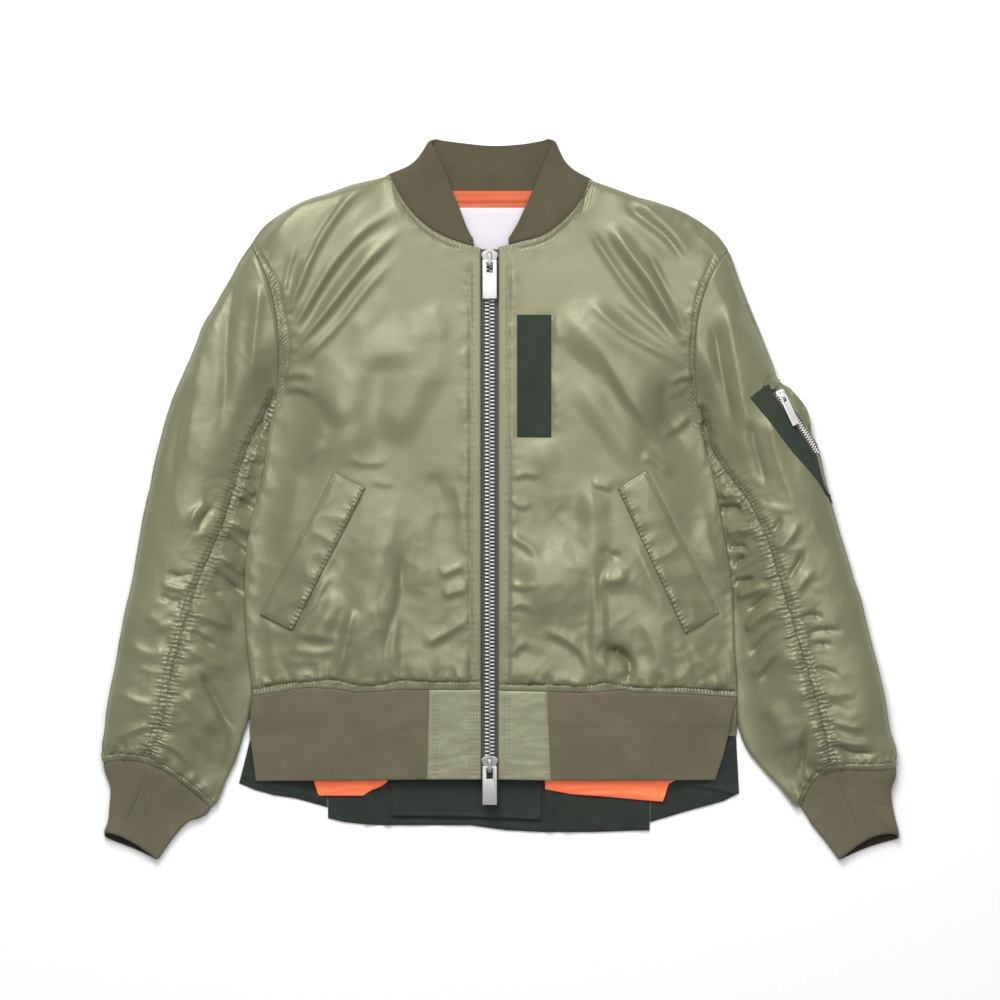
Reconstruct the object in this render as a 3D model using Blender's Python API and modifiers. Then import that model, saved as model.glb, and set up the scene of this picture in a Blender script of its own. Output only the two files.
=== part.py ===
"""A bomber jacket laid flat on its back, front up and zipped.

Sizes are in millimetres and become metres where a mesh is made. X runs towards the wearer's
left arm, Y from the hem to the collar, and Z up from the surface that the jacket lies on.
Cloth is a grid laid through its sections and given its wall by a Solidify modifier.
"""

import math

import bmesh
import bpy
import numpy as np
from mathutils import Matrix, Vector

MM = 0.001

# Driving dimensions
SHELL_WALL = 2.4
RIB_WALL = 2.6
LINING_WALL = 1.6
RIBBON_WALL = 1.2
TAPE_WALL = 1.2
LABEL_WALL = 1.0
BAND_WALL = 2.0
SEAM_HALF_GAP = 0.25
ARMHOLE_HALF_GAP = 0.85
POCKET_GAP = 0.9
LYING_GAP = 0.5
TABLE_Z = SHELL_WALL / 2

UNDERARM_DROP = 30.0
SHOULDER_ROUND = 45.0
SIDE_ROUND = 75.0
SIDE_FRONT_Z = 12.3
SIDE_BACK_Z = 9.6
OPEN_FRONT_Z = 14.0
OPEN_BACK_Z = 8.0
BACK_HOLD = 7.5
BACK_FALL = 14.0

ARM_EDGE_Z = 15.0
ARM_UNDER_Z = 7.0
ARM_THIN_Z = 5.5
ARM_ROUND = 40.0
ARM_EASE = 70.0
ARM_UNDER_HOLD = 2.5
ARM_UNDER_FALL = 10.0
FOLD_STEPS = (14.0, 6.0, 2.5, 0.8)
FOLD_REACH = 28.0
UNDER_REACH = 22.0

ZIP_X = -10.3
ZIP_RIGHT_EDGE = -19.0
ZIP_LEFT_EDGE = -1.6
ZIP_TOP_Y = 250.0
TAPE_TUCK = 4.0
TAPE_DROP = 2.2
CHAIN_WIDTH = 10.0
CHAIN_WALL = 2.2
HEM_SEAM_Y = -190.0
HEM_END_Y = -279.0

# Height of the upper layer's middle over the body, from hem to neck: y, z
BODY_HEIGHT = ((-285, 15), (-192, 23), (-120, 29), (120, 31), (230, 27), (330, 21))

# Shoulder lines, from the neck to the sleeve head: x, y
SHOULDER = {
    "right": ((-110, 325), (-142, 314), (-201, 294), (-235, 274), (-249, 254)),
    "left": ((89, 319), (131, 304), (188, 284), (217, 264), (228, 249)),
}
# Neck seams of the fronts, from the shoulder to the zip: x, y
NECK = {
    "right": ((-110, 325), (-100, 304), (-87, 286), (-64, 267), (-43, 258), (-19, 251)),
    "left": ((89, 319), (80, 298), (66, 281), (41, 263), (22, 258), (-1.6, 252)),
}
# Sides of the body, from the underarm to the hem seam: x, y
SIDE = {
    "right": ((-224, 98), (-231, 70), (-238, 20), (-249, -20), (-255, -100), (-252, -150), (-247, -190)),
    "left": ((199, 79), (206, 50), (214, 20), (221, -20), (232, -90), (234, -145), (237, -190)),
}
# Front hem band, from the hem seam to its lower edge: x, y, z of its side edge
HEM_SIDE = {
    "right": ((-247.5, -190, 12.3), (-249.5, -214, 12.3), (-250, -236, 7), (-248, -250, 6.5), (-244, -281, 6)),
    "left": ((237, -190, 12.3), (232.5, -214, 12.3), (228, -236, 7), (223, -256, 6.5), (215, -280, 6)),
}
# Outer ends of the back's own hem: x, y
BACK_HEM_END = {"right": (-249.5, -235), "left": (236.5, -235)}

# Sleeve and cuff sections, from the armhole to the cuff's end. The outer and inner points lie on
# the outline, bow is the section's bend towards the shoulder and peak where it is deepest, crown is
# the upper layer's height, front_seam and back_seam are shares of the way in from the outer edge.
ARM_COLUMNS = (
    "outer_x", "outer_y", "inner_x", "inner_y", "bow", "peak", "crown", "front_seam", "back_seam",
)
ARM = {
    "right": (
        (-249, 254, -224, 98, 14, 0.45, 30, 0.90, 0.86),
        (-279, 204, -232, 81, 8, 0.5, 32, 0.88, 0.83),
        (-308, 144, -232.5, 55, 3, 0.5, 34, 0.80, 0.80),
        (-333, 84, -235, 22, 0, 0.5, 34, 0.75, 0.72),
        (-351, 4, -243, -35, 0, 0.5, 34, 0.685, 0.65),
        (-367, -76, -248, -105, 0, 0.5, 33, 0.525, 0.58),
        (-383, -156, -245, -172, 0, 0.5, 32, 0.41, 0.52),
        (-393, -216, -261, -243, 4, 0.45, 30, 0.40, 0.50),
        (-397, -264, -288, -308, 18, 0.4, 22, 0.36, 0.50),
        (-391, -287, -312, -322, 10, 0.4, 18, 0.38, 0.50),
        (-391, -313, -328, -340, 5, 0.45, 15, 0.34, 0.50),
        (-396, -333, -342, -360, 3, 0.45, 13, 0.32, 0.50),
    ),
    "left": (
        (228, 249, 199, 79, 19, 0.42, 30, 0.88, 0.86),
        (249, 194, 207, 64, 10, 0.5, 32, 0.88, 0.83),
        (270, 144, 209, 40, 4, 0.5, 34, 0.87, 0.80),
        (301, 90, 212, 5, 0, 0.5, 34, 0.78, 0.75),
        (328, 4, 220.5, -45, 0, 0.5, 34, 0.62, 0.68),
        (350, -66, 228.5, -105, 0, 0.5, 33, 0.56, 0.60),
        (370, -136, 231.5, -165, 0, 0.5, 32, 0.50, 0.55),
        (386, -211, 246, -246, 5, 0.6, 30, 0.45, 0.50),
        (396, -266, 300, -308, 22, 0.65, 22, 0.57, 0.50),
        (394, -291, 311, -324, 12, 0.6, 18, 0.58, 0.50),
        (397, -314, 325, -341, 6, 0.6, 15, 0.60, 0.50),
        (401, -337, 339, -360, 9, 0.45, 13, 0.58, 0.50),
    ),
}
CUFF_ROW = 8
LAST_ROW = 11

# The collar band, from the wearer's right front round the back to the left front: the neck seam's
# point and height (None is level with the front), then the free edge's. At a fold the rows share a
# place and differ in height.
COLLAR = (
    (-26, 254, None, -27, 260, 26),
    (-43, 259.5, None, -33, 272, 22),
    (-64, 268.5, None, -40, 290, 18),
    (-86, 287.5, None, -47, 307, 15),
    (-99, 305.5, None, -54, 328, 13),
    (-109, 323, 13, -66.5, 356, 11.5),
    (-110.5, 324.5, 9, -67.5, 360, 7),
    (-107, 321, 3, -66, 355, 2.5),
    (-80, 311.5, 1.3, -52, 356, 1.3),
    (-47, 307, 1.3, -38, 355.5, 1.3),
    (-8, 306, 1.3, -7, 354, 1.3),
    (31, 306.5, 1.3, 25, 356, 1.3),
    (60, 310, 1.3, 39, 358, 1.3),
    (86, 315.5, 3, 50, 357, 2.5),
    (90, 319.5, 9, 52, 360, 7),
    (88, 317, 13, 50.5, 356, 11.5),
    (79, 299.5, None, 44, 338, 13),
    (65, 282.5, None, 37, 318, 15),
    (41, 264.5, None, 28, 299, 18),
    (22, 259.5, None, 18, 277, 22),
    (8.5, 256, None, 9, 261, 26),
)

# Slanted pocket welts: the four corners from the inner top, clockwise as they are seen
WELT = {
    "right": ((-165, 28), (-134, 12), (-207, -130), (-240, -114)),
    "left": ((117, 12), (146, 30), (219, -113), (185, -134)),
}
CHEST_RIBBON = ((17, 184.5), (51, 184.5), (51, 62.5), (17, 62.5))

# Zip pocket on the left sleeve: ends of each strip's two long edges, from the top
POCKET_BAND = ((249, 102), (269, 104.4), (302.3, 57.6), (318, 14), (248, 101), (318, 5))
POCKET_CHAIN = ((275, 106), (307, 61))
POCKET_TAPE_WIDTH = 10.0
POCKET_CHAIN_WIDTH = 4.5
POCKET_TAB = ((262, 112), (269, 121), (277, 117), (270, 110))
POCKET_PULL_TURN = 23.4

# Longer back hem, as it lies below the front's hem: corners of each piece, and its height
HEM_SIDES = {
    "right": ((-249, -235.8), (-172.4, -235.8), (-172.4, -307), (-261, -283)),
    "left": ((151.4, -235.8), (236, -235.8), (239, -293), (150, -322)),
}
HEM_PLEAT = ((-172, -235.8), (151, -235.8), (149.4, -330), (-172, -325))
HEM_BOX_PLEAT = ((-110, -244), (42, -244), (42, -319), (-110, -316))
HEM_LINING = {
    "right": ((-190, -262), (-112, -262), (-116, -291), (-180, -296)),
    "left": ((45, -262), (178, -262), (161, -301), (72, -295)),
}
LINING_NECK = ((-84, 304), (66, 304), (44, 228), (-62, 228))
NECK_LABEL = ((-43, 292), (26, 292), (26, 244), (-43, 244))

PULL_WIDTH = 14.4
PULL_LENGTH = 39.0
SMALL_SCALE = 0.6
SMALL_PULL_LENGTH = 33.0

SAGE = ((0.33, 0.34, 0.22), 0.42, 0.0)
RIB = ((0.13, 0.11, 0.065), 0.95, 0.0)
GREEN = ((0.035, 0.05, 0.035), 0.7, 0.0)
ORANGE = ((0.85, 0.16, 0.05), 0.5, 0.0)
WHITE = ((0.85, 0.84, 0.85), 0.6, 0.0)
TAPE = ((0.075, 0.065, 0.055), 0.9, 0.0)
METAL = ((0.78, 0.77, 0.74), 0.25, 1.0)


def clear_scene():
    for thing in list(bpy.data.objects):
        bpy.data.objects.remove(thing, do_unlink=True)


clear_scene()
JACKET = bpy.data.collections.new("bomber_jacket")
CUTTERS = bpy.data.collections.new("cutters")
for group in (JACKET, CUTTERS):
    bpy.context.scene.collection.children.link(group)


def finish_of(look):
    """One Principled material for each name and look, made when it is first asked for."""
    colour, roughness, metallic = look
    name = "finish_%02x%02x%02x" % tuple(int(255 * part) for part in colour)
    material = bpy.data.materials.get(name)
    if material is None:
        material = bpy.data.materials.new(name)
        material.use_nodes = True
        shader = material.node_tree.nodes["Principled BSDF"]
        shader.inputs["Base Color"].default_value = (*colour, 1.0)
        shader.inputs["Roughness"].default_value = roughness
        shader.inputs["Metallic"].default_value = metallic
    return material


# Curves and heights


def ease(share):
    share = np.clip(share, 0.0, 1.0)
    return share * share * (3 - 2 * share)


def rounded(share):
    """Height along a quarter ellipse, from 0 at the edge to 1."""
    return np.sqrt(np.clip(1 - (1 - np.clip(share, 0.0, 1.0)) ** 2, 0.0, 1.0))


def through(rows, at, stops=None):
    """A smooth curve through rows of numbers, read at 0 to 1 along it or between the given stops."""
    rows = np.array(rows, float)
    if stops is None:
        steps = np.linalg.norm(np.diff(rows[:, :2], axis=0), axis=1)
        stops = np.concatenate([[0], np.cumsum(steps)]) / steps.sum()
    slope = np.gradient(rows, stops, axis=0)
    at = np.clip(at, stops[0], stops[-1])
    low = int(np.clip(np.searchsorted(stops, at, side="right") - 1, 0, len(stops) - 2))
    span = stops[low + 1] - stops[low]
    q = (at - stops[low]) / span
    start = (1 + 2 * q) * (1 - q) ** 2 * rows[low] + q * (1 - q) ** 2 * span * slope[low]
    end = q * q * (3 - 2 * q) * rows[low + 1] + q * q * (q - 1) * span * slope[low + 1]
    return start + end


def away(point, line):
    """Distance in plan from a point to a smooth line sampled finely."""
    return float(np.linalg.norm(line - np.array(point[:2]), axis=1).min())


def sampled(rows, count=120):
    return np.array([through(rows, k / count)[:2] for k in range(count + 1)])


SHOULDER_LINE = {side: sampled(SHOULDER[side]) for side in SHOULDER}
SIDE_LINE = {side: np.concatenate([sampled(SIDE[side]), sampled(HEM_SIDE[side])]) for side in SIDE}
HEM_SIDE_Y = [-row[1] for row in HEM_SIDE["right"]]
HEM_SIDE_Z = [row[2] for row in HEM_SIDE["right"]]


def edge_z(y):
    """Height of the upper layer's edge at the side, which comes down along the hem band."""
    return float(np.interp(-y, HEM_SIDE_Y, HEM_SIDE_Z))


def crest_z(y):
    ys, zs = zip(*BODY_HEIGHT)
    return float(np.interp(y, ys, zs))


def front_z(x, y):
    """Middle height of the body's upper layer over a place in plan."""
    from_shoulder = min(away((x, y), SHOULDER_LINE[side]) for side in SHOULDER)
    from_side = min(away((x, y), SIDE_LINE[side]) for side in SIDE)
    low = edge_z(y)
    rise = rounded(from_shoulder / SHOULDER_ROUND) * ease(from_side / SIDE_ROUND)
    return low + (crest_z(y) - low) * rise


def fall(distance, edge, hold, run):
    """The under layer comes down from a lifted edge to the surface below."""
    return TABLE_Z + (edge - TABLE_Z) * (1 - ease((distance - hold) / run))


def arm_section(side, s):
    """The named values of a sleeve's section, s counting the rows of its table."""
    values = through(ARM[side], s, stops=np.arange(LAST_ROW + 1.0))
    section = dict(zip(ARM_COLUMNS, values))
    outer = np.array((section["outer_x"], section["outer_y"]))
    inner = np.array((section["inner_x"], section["inner_y"]))
    width = float(np.linalg.norm(inner - outer))
    across = (inner - outer) / width
    turn = 1 if side == "right" else -1
    section.update(
        outer=outer, inner=inner, width=width, across=across,
        up=np.array((-across[1], across[0])) * turn,
        bend=math.log(0.5) / math.log(section["peak"]),
    )
    return section


def arm_plan(section, e):
    """Place in plan at e millimetres in from a section's outer edge."""
    share = min(max(e / section["width"], 0.0), 1.0)
    bow = section["bow"] * math.sin(math.pi * share ** section["bend"])
    return section["outer"] + e * section["across"] + bow * section["up"]


def arm_edges(s):
    """Heights of the upper and under layers at the outer and the inner fold of a section."""
    opened, thinned = ease(s / 1.2), ease(s / 2.2)
    settled = ease((s - 6.5) / 2.0)
    outer_top = OPEN_FRONT_Z + (ARM_EDGE_Z - OPEN_FRONT_Z) * opened - 5.5 * settled
    outer_under = OPEN_BACK_Z + (ARM_UNDER_Z - OPEN_BACK_Z) * opened - 3.5 * settled
    inner_top = OPEN_FRONT_Z + (ARM_THIN_Z - OPEN_FRONT_Z) * thinned + 1.5 * settled
    inner_under = OPEN_BACK_Z + (TABLE_Z - OPEN_BACK_Z) * thinned
    return outer_top, outer_under, inner_top, inner_under


def arm_height(section, s, e, layer):
    """Middle height of a sleeve's layer at e millimetres in from the outer edge."""
    width = section["width"]
    outer_top, outer_under, inner_top, inner_under = arm_edges(s)
    from_inner = width - e
    if layer == "upper":
        low = outer_top + (inner_top - outer_top) * ease(e / width)
        rise = rounded((e - ARM_UNDER_HOLD) / ARM_ROUND) * ease((from_inner - ARM_UNDER_HOLD) / ARM_EASE)
        return low + (section["crown"] - low) * rise
    opened = ease(s / 1.2)
    hold = BACK_HOLD + (ARM_UNDER_HOLD - BACK_HOLD) * opened
    run = BACK_FALL + (ARM_UNDER_FALL - BACK_FALL) * opened
    outer = fall(e, outer_under, hold, run) - TABLE_Z
    inner = fall(from_inner, inner_under, hold, run) - TABLE_Z
    return TABLE_Z + outer + inner


def arm_fold(section, s, edge, layer, e):
    """A point on the hairpin at the outer or inner fold, e millimetres in from it."""
    tops = arm_edges(s)
    top, under = tops[:2] if edge == "outer" else tops[2:]
    middle, half = (top + under) / 2, (top - under) / 2
    reach = half * rounded(e / ARM_UNDER_HOLD)
    z = middle + reach if layer == "upper" else middle - reach
    turned = e + SHELL_WALL / 2 * (1 - e / ARM_UNDER_HOLD)
    place = turned if edge == "outer" else section["width"] - turned
    return (*arm_plan(section, place), z)


def arm_point(section, s, e, layer):
    edge = "outer" if e < section["width"] / 2 else "inner"
    near = e if edge == "outer" else section["width"] - e
    if near < ARM_UNDER_HOLD:
        return arm_fold(section, s, edge, layer, near)
    return (*arm_plan(section, e), arm_height(section, s, e, layer))


# Mesh makers


def grid_object(name, points, look):
    """A grid primitive whose corners are moved to their points."""
    rows, cols = points.shape[:2]
    mesh = bpy.data.meshes.new(name)
    bm = bmesh.new()
    bmesh.ops.create_grid(bm, x_segments=cols - 1, y_segments=rows - 1, size=1.0)
    for vertex in bm.verts:
        col = round((vertex.co.x + 1) / 2 * (cols - 1))
        row = round((vertex.co.y + 1) / 2 * (rows - 1))
        vertex.co = Vector(points[row, col]) * MM
    bm.to_mesh(mesh)
    bm.free()
    mesh.shade_smooth()
    thing = bpy.data.objects.new(name, mesh)
    thing.data.materials.append(finish_of(look))
    JACKET.objects.link(thing)
    return thing


def drawn_in(points, edges, by=SEAM_HALF_GAP):
    """The grid with the named edges pulled in, which leaves the seam's gap to the next piece."""
    points = points.copy()
    rims = {
        "first_row": (np.s_[0, :], np.s_[1, :]),
        "last_row": (np.s_[-1, :], np.s_[-2, :]),
        "first_col": (np.s_[:, 0], np.s_[:, 1]),
        "last_col": (np.s_[:, -1], np.s_[:, -2]),
    }
    for edge in edges:
        rim, inside = rims[edge]
        way = points[inside] - points[rim]
        points[rim] += by * way / np.linalg.norm(way, axis=-1, keepdims=True)
    return points


def cloth(name, points, wall, look, seams=("first_row", "last_row", "first_col", "last_col"), armhole=()):
    """One cut piece: its grid, drawn in at its seams and given its wall."""
    points = drawn_in(np.array(points, float), armhole, ARMHOLE_HALF_GAP)
    thing = grid_object(name, drawn_in(points, seams), look)
    solid = thing.modifiers.new("wall", "SOLIDIFY")
    solid.thickness = wall * MM
    solid.offset = 0.0
    solid.use_even_offset = True
    return thing


def patch(corners, rows, cols):
    """Plan points of a four-cornered patch, the corners going round it."""
    a, b, c, d = (np.array(corner, float) for corner in corners)
    return np.array([
        [(1 - v) * ((1 - u) * a + u * b) + v * ((1 - u) * d + u * c) for u in np.linspace(0, 1, cols)]
        for v in np.linspace(0, 1, rows)
    ])


def facing(height, x, y, step=1.5):
    """The upward normal of a height function at a place in plan."""
    slope_x = (height(x + step, y) - height(x - step, y)) / (2 * step)
    slope_y = (height(x, y + step) - height(x, y - step)) / (2 * step)
    normal = Vector((-slope_x, -slope_y, 1.0))
    return normal.normalized()


def lying_on(height, plan, lift):
    """Plan points raised along a surface's normal, for what is sewn on to it."""
    points = np.zeros((*plan.shape[:2], 3))
    for row, col in np.ndindex(*plan.shape[:2]):
        x, y = plan[row, col]
        base = Vector((x, y, height(x, y)))
        points[row, col] = base + lift * facing(height, x, y)
    return points


def flat_at(z):
    return lambda x, y: z


# Body


def armhole_place(section, v, layer):
    """Distance from the sleeve head at a share of the way up the body, stop for stop as on the sleeve."""
    width = section["width"]
    if layer == "upper":
        seam = section["front_seam"] * width
        stops = [width, *np.linspace(seam, FOLD_REACH, 5), 14.0, 6.0, 0.0]
    else:
        seam = section["back_seam"] * width
        stops = [width, *np.linspace(seam, UNDER_REACH, 4), 14.0, 6.0, ARM_UNDER_HOLD, 0.0]
    return float(np.interp(v, UP_ARMHOLE, stops))


def front_outline(side, layer="upper"):
    """Four boundaries in plan: hem, zip, top (shoulder then neck) and outer (side then armhole)."""
    zip_x = ZIP_RIGHT_EDGE if side == "right" else ZIP_LEFT_EDGE
    hem_corner = SIDE[side][-1]
    neck_end = NECK[side][-1]
    section = arm_section(side, 0.0)

    def hem(u):
        return np.array((hem_corner[0] + u * (zip_x - hem_corner[0]), HEM_SEAM_Y))

    def zip_edge(v):
        return np.array((zip_x, HEM_SEAM_Y + v * (neck_end[1] - HEM_SEAM_Y)))

    def top(u):
        if u <= NECK_SHARE:
            return through(SHOULDER[side], 1 - u / NECK_SHARE)[:2]
        return through(NECK[side], (u - NECK_SHARE) / (1 - NECK_SHARE))[:2]

    def outer(v):
        if v <= UNDERARM_SHARE:
            return through(SIDE[side], 1 - v / UNDERARM_SHARE)[:2]
        return arm_plan(section, armhole_place(section, v, layer))

    return hem, zip_edge, top, outer


NECK_SHARE = 0.55
UNDERARM_SHARE = 0.62
ACROSS = (0, 0.02, 0.05, 0.10, 0.17, 0.26, 0.36, 0.46, NECK_SHARE, 0.66, 0.78, 0.90, 1)
UP_SIDE = (0, 0.08, 0.17, 0.26, 0.35, 0.44, 0.53, UNDERARM_SHARE)
UP_ARMHOLE = (UNDERARM_SHARE, 0.65, 0.72, 0.79, 0.86, 0.93, 0.96, 0.98, 1)
UP = UP_SIDE + UP_ARMHOLE[1:]


def coons(bottom, right, top, left, across, up):
    """Plan points of a patch blended between its four boundaries."""
    plan = np.zeros((len(up), len(across), 2))
    for i, v in enumerate(up):
        for j, u in enumerate(across):
            ruled = (1 - v) * bottom(u) + v * top(u) + (1 - u) * left(v) + u * right(v)
            corners = (1 - u) * ((1 - v) * bottom(0) + v * top(0)) + u * ((1 - v) * bottom(1) + v * top(1))
            plan[i, j] = ruled - corners
    return plan


def eased_to(points, rim, wanted, reach):
    """Heights changed near one edge of a grid so that it meets the heights wanted there."""
    points = points.copy()
    if rim == "first_col":
        miss = wanted - points[:, 0, 2]
        gone = np.linalg.norm(points[:, :, :2] - points[:, :1, :2], axis=2)
        points[:, :, 2] += miss[:, None] * (1 - ease(gone / reach))
    elif rim == "last_col":
        miss = wanted - points[:, -1, 2]
        gone = np.linalg.norm(points[:, :, :2] - points[:, -1:, :2], axis=2)
        points[:, :, 2] += miss[:, None] * (1 - ease(gone / reach))
    else:
        miss = wanted - points[-1, :, 2]
        gone = np.linalg.norm(points[:, :, :2] - points[-1:, :, :2], axis=2)
        points[:, :, 2] += miss[None, :] * (1 - ease(gone / reach))
    return points


def rim_heights(side, layer, shares):
    """Heights along the body's outer boundary: the side seam, then the armhole."""
    section = arm_section(side, 0.0)
    side_length = np.linalg.norm(np.diff(sampled(SIDE[side]), axis=0), axis=1).sum()
    closed_z, open_z = (SIDE_FRONT_Z, OPEN_FRONT_Z) if layer == "upper" else (SIDE_BACK_Z, OPEN_BACK_Z)
    heights = []
    for v in shares:
        if v < UNDERARM_SHARE:
            below = (1 - v / UNDERARM_SHARE) * side_length
            flare = 1 - ease(below / UNDERARM_DROP)
            heights.append(closed_z + (open_z - closed_z) * flare)
        else:
            e = armhole_place(section, v, layer)
            edge = min(e, section["width"] - e)
            z = open_z if edge < ARM_UNDER_HOLD else arm_height(section, 0.0, e, layer)
            heights.append(z)
    return np.array(heights)


def shoulder_heights(layer, gone):
    """Heights along a shoulder line, at distances from the sleeve head."""
    closed_z, open_z = (SIDE_FRONT_Z, OPEN_FRONT_Z) if layer == "upper" else (SIDE_BACK_Z, OPEN_BACK_Z)
    return closed_z + (open_z - closed_z) * (1 - ease(gone / UNDERARM_DROP))


def front_piece(side):
    plan = coons(*front_outline(side), ACROSS, UP)
    points = np.zeros((*plan.shape[:2], 3))
    for i, j in np.ndindex(*plan.shape[:2]):
        points[i, j] = (*plan[i, j], front_z(*plan[i, j]))
    points = eased_to(points, "first_col", rim_heights(side, "upper", UP), 60)
    gone = np.linalg.norm(plan[-1] - plan[-1, 0], axis=1)
    shoulder = ACROSS.index(NECK_SHARE) + 1
    wanted = points[-1, :, 2].copy()
    wanted[:shoulder] = shoulder_heights("upper", gone[:shoulder])
    points = eased_to(points, "last_row", wanted, 25)
    return cloth(f"front_{side}", points, SHELL_WALL, SAGE, armhole=("first_col",))


def back_piece():
    """The back lies flat; its edges lift to the side and shoulder seams."""
    outlines = {side: front_outline(side, "under") for side in SIDE}
    neck_from = 0.33
    neck_to = 1 - neck_from
    back_neck = ((-110, 325), (-80, 310.5), (-47, 306.2), (-8, 305.2), (31, 305.7), (60, 309), (89, 319))
    half = (0, 0.015, 0.03, 0.05, 0.09, 0.15, 0.24, neck_from, 0.35, 0.38, 0.44)
    across = (*half, 0.5, *[1 - share for share in reversed(half)])
    up = (0, 0.05, 0.09, *[0.09 + 0.91 * share for share in UP[1:]])
    hem_share = 0.09

    def hem(u):
        ends = [np.array(BACK_HEM_END[side]) for side in ("right", "left")]
        return ends[0] + u * (ends[1] - ends[0])

    def top(u):
        if u <= neck_from:
            return through(SHOULDER["right"], 1 - u / neck_from)[:2]
        if u < neck_to:
            return through(back_neck, (u - neck_from) / (neck_to - neck_from))[:2]
        return through(SHOULDER["left"], (u - neck_to) / (1 - neck_to))[:2]

    def edge(side):
        corner, end = np.array(SIDE[side][-1], float), np.array(BACK_HEM_END[side], float)

        def at(v):
            if v < hem_share:
                return end + v / hem_share * (corner - end)
            return outlines[side][3]((v - hem_share) / (1 - hem_share))

        return at

    plan = coons(hem, edge("left"), top, edge("right"), across, up)
    points = np.zeros((*plan.shape[:2], 3))
    shares = [(v - hem_share) / (1 - hem_share) for v in up]
    body = [v for v in shares if v >= 0]
    settle = [ease(2 * v / hem_share) for v in up[:len(up) - len(body)]]
    rims = {}
    for side in ("right", "left"):
        hem_rims = [TABLE_Z + (SIDE_BACK_Z - TABLE_Z) * share for share in settle]
        rims[side] = np.array([*hem_rims, *rim_heights(side, "under", body)])
    for i, j in np.ndindex(*plan.shape[:2]):
        x, y = plan[i, j]
        side = "right" if j < len(across) / 2 else "left"
        rim_x_gone = away((x, y), np.array([plan[i, 0 if side == "right" else -1]]))
        lift = fall(rim_x_gone, rims[side][i], BACK_HOLD, BACK_FALL) - TABLE_Z
        top_gone = away((x, y), SHOULDER_LINE[side])
        tip_gone = away(plan[-1, j], SHOULDER_LINE[side][-1:])
        seam_z = shoulder_heights("under", tip_gone)
        over_shoulder = j <= across.index(neck_from) or j >= across.index(neck_to)
        if not over_shoulder:
            seam_z = TABLE_Z + (seam_z - TABLE_Z) * (1 - ease(min(
                away(plan[-1, j], SHOULDER_LINE[name][:1]) for name in SHOULDER) / 25))
        rise = fall(top_gone, seam_z, BACK_HOLD, BACK_FALL) - TABLE_Z
        points[i, j] = (x, y, TABLE_Z + max(lift, rise))
    points[-1, 0, 2] = points[-1, -1, 2] = OPEN_BACK_Z
    return cloth("back", points, SHELL_WALL, SAGE, armhole=("first_col", "last_col"))


# Sleeves and cuffs


def ring_stops(section, piece):
    """Where the points of one piece of a section lie, from its front seam to its back seam."""
    width = section["width"]
    front, back = section["front_seam"] * width, section["back_seam"] * width
    if piece == "upper":
        reach = min(FOLD_REACH, max(0.8 * front, FOLD_STEPS[0] + 1))
        stops = [(e, "upper") for e in np.linspace(front, reach, 5)]
        stops += [(e, "upper") for e in FOLD_STEPS] + [(0.0, "upper")]
        stops += [(e, "under") for e in reversed(FOLD_STEPS)]
        stops += [(e, "under") for e in np.linspace(UNDER_REACH, back, 4)]
    else:
        front_gap = width - front
        steps = [min(step, front_gap * share) for step, share in zip(FOLD_STEPS, (0.7, 0.5, 0.3, 0.1))]
        middle = front + (front_gap - steps[0]) / 2
        stops = [(front, "upper"), (middle, "upper")]
        stops += [(width - step, "upper") for step in steps] + [(width, "upper")]
        stops += [(width - step, "under") for step in reversed(FOLD_STEPS[1:])]
        back_gap = width - back
        stops += [(width - gap, "under") for gap in np.linspace(min(10.0, 0.6 * back_gap), back_gap, 4)]
    return stops


SLEEVE_STATIONS = (0, 0.35, 0.8, 1.4, 2, 2.7, 3.4, 4.2, 5, 5.8, 6.5, 7.1, 7.6, CUFF_ROW)


def sleeve_piece(side, piece):
    rings = []
    for s in SLEEVE_STATIONS:
        section = arm_section(side, float(s))
        rings.append([arm_point(section, s, e, layer) for e, layer in ring_stops(section, piece)])
    wide = ("first_row",) if piece == "upper" else ("first_row", "first_col")
    return cloth(f"sleeve_{side}_{piece}", rings, SHELL_WALL, SAGE, armhole=wide)


def cuff_piece(side):
    """The rib tube, joined down its front in line with the sleeve's front seam."""
    rings = []
    for s in np.linspace(CUFF_ROW, LAST_ROW, 5):
        section = arm_section(side, float(s))
        stops = ring_stops(section, "upper") + ring_stops(section, "under")[-2::-1]
        rings.append([arm_point(section, s, e, layer) for e, layer in stops])
    return cloth(f"cuff_{side}", rings, SHELL_WALL, RIB, armhole=("first_row",))


# Hem, zip and what is sewn on


def hem_strip(name, left_edge, right_edge, look, cols):
    """A piece of the front's hem band, between two edges given as functions of the way down."""
    plan = np.array([
        [left_edge(v) + u * (right_edge(v) - left_edge(v)) for u in cols] for v in np.linspace(0, 1, 5)
    ])
    points = np.array([[(*spot, front_z(*spot)) for spot in row] for row in plan])
    return cloth(name, points, SHELL_WALL, look)


def straight(x_top, x_end, y_end=HEM_END_Y):
    top, end = np.array((x_top, HEM_SEAM_Y)), np.array((x_end, y_end))
    return lambda v: top + v * (end - top)


def hem_pieces():
    block_right, block_left = straight(-71, -73), straight(47, 51, -280)
    side_right = lambda v: through(HEM_SIDE["right"], v)[:2]
    side_left = lambda v: through(HEM_SIDE["left"], v)[:2]
    out_in = (0, 0.03, 0.09, 0.2, 0.35, 0.55, 0.78, 1)
    in_out = [1 - share for share in reversed(out_in)]
    hem_strip("hem_rib_right", side_right, block_right, RIB, out_in)
    hem_strip("hem_rib_left", block_left, side_left, RIB, in_out)
    evenly = (0, 0.5, 1)
    hem_strip("hem_block_right", block_right, straight(ZIP_RIGHT_EDGE, ZIP_RIGHT_EDGE), SAGE, evenly)
    hem_strip("hem_block_left", straight(ZIP_LEFT_EDGE, ZIP_LEFT_EDGE), block_left, SAGE, evenly)


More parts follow.
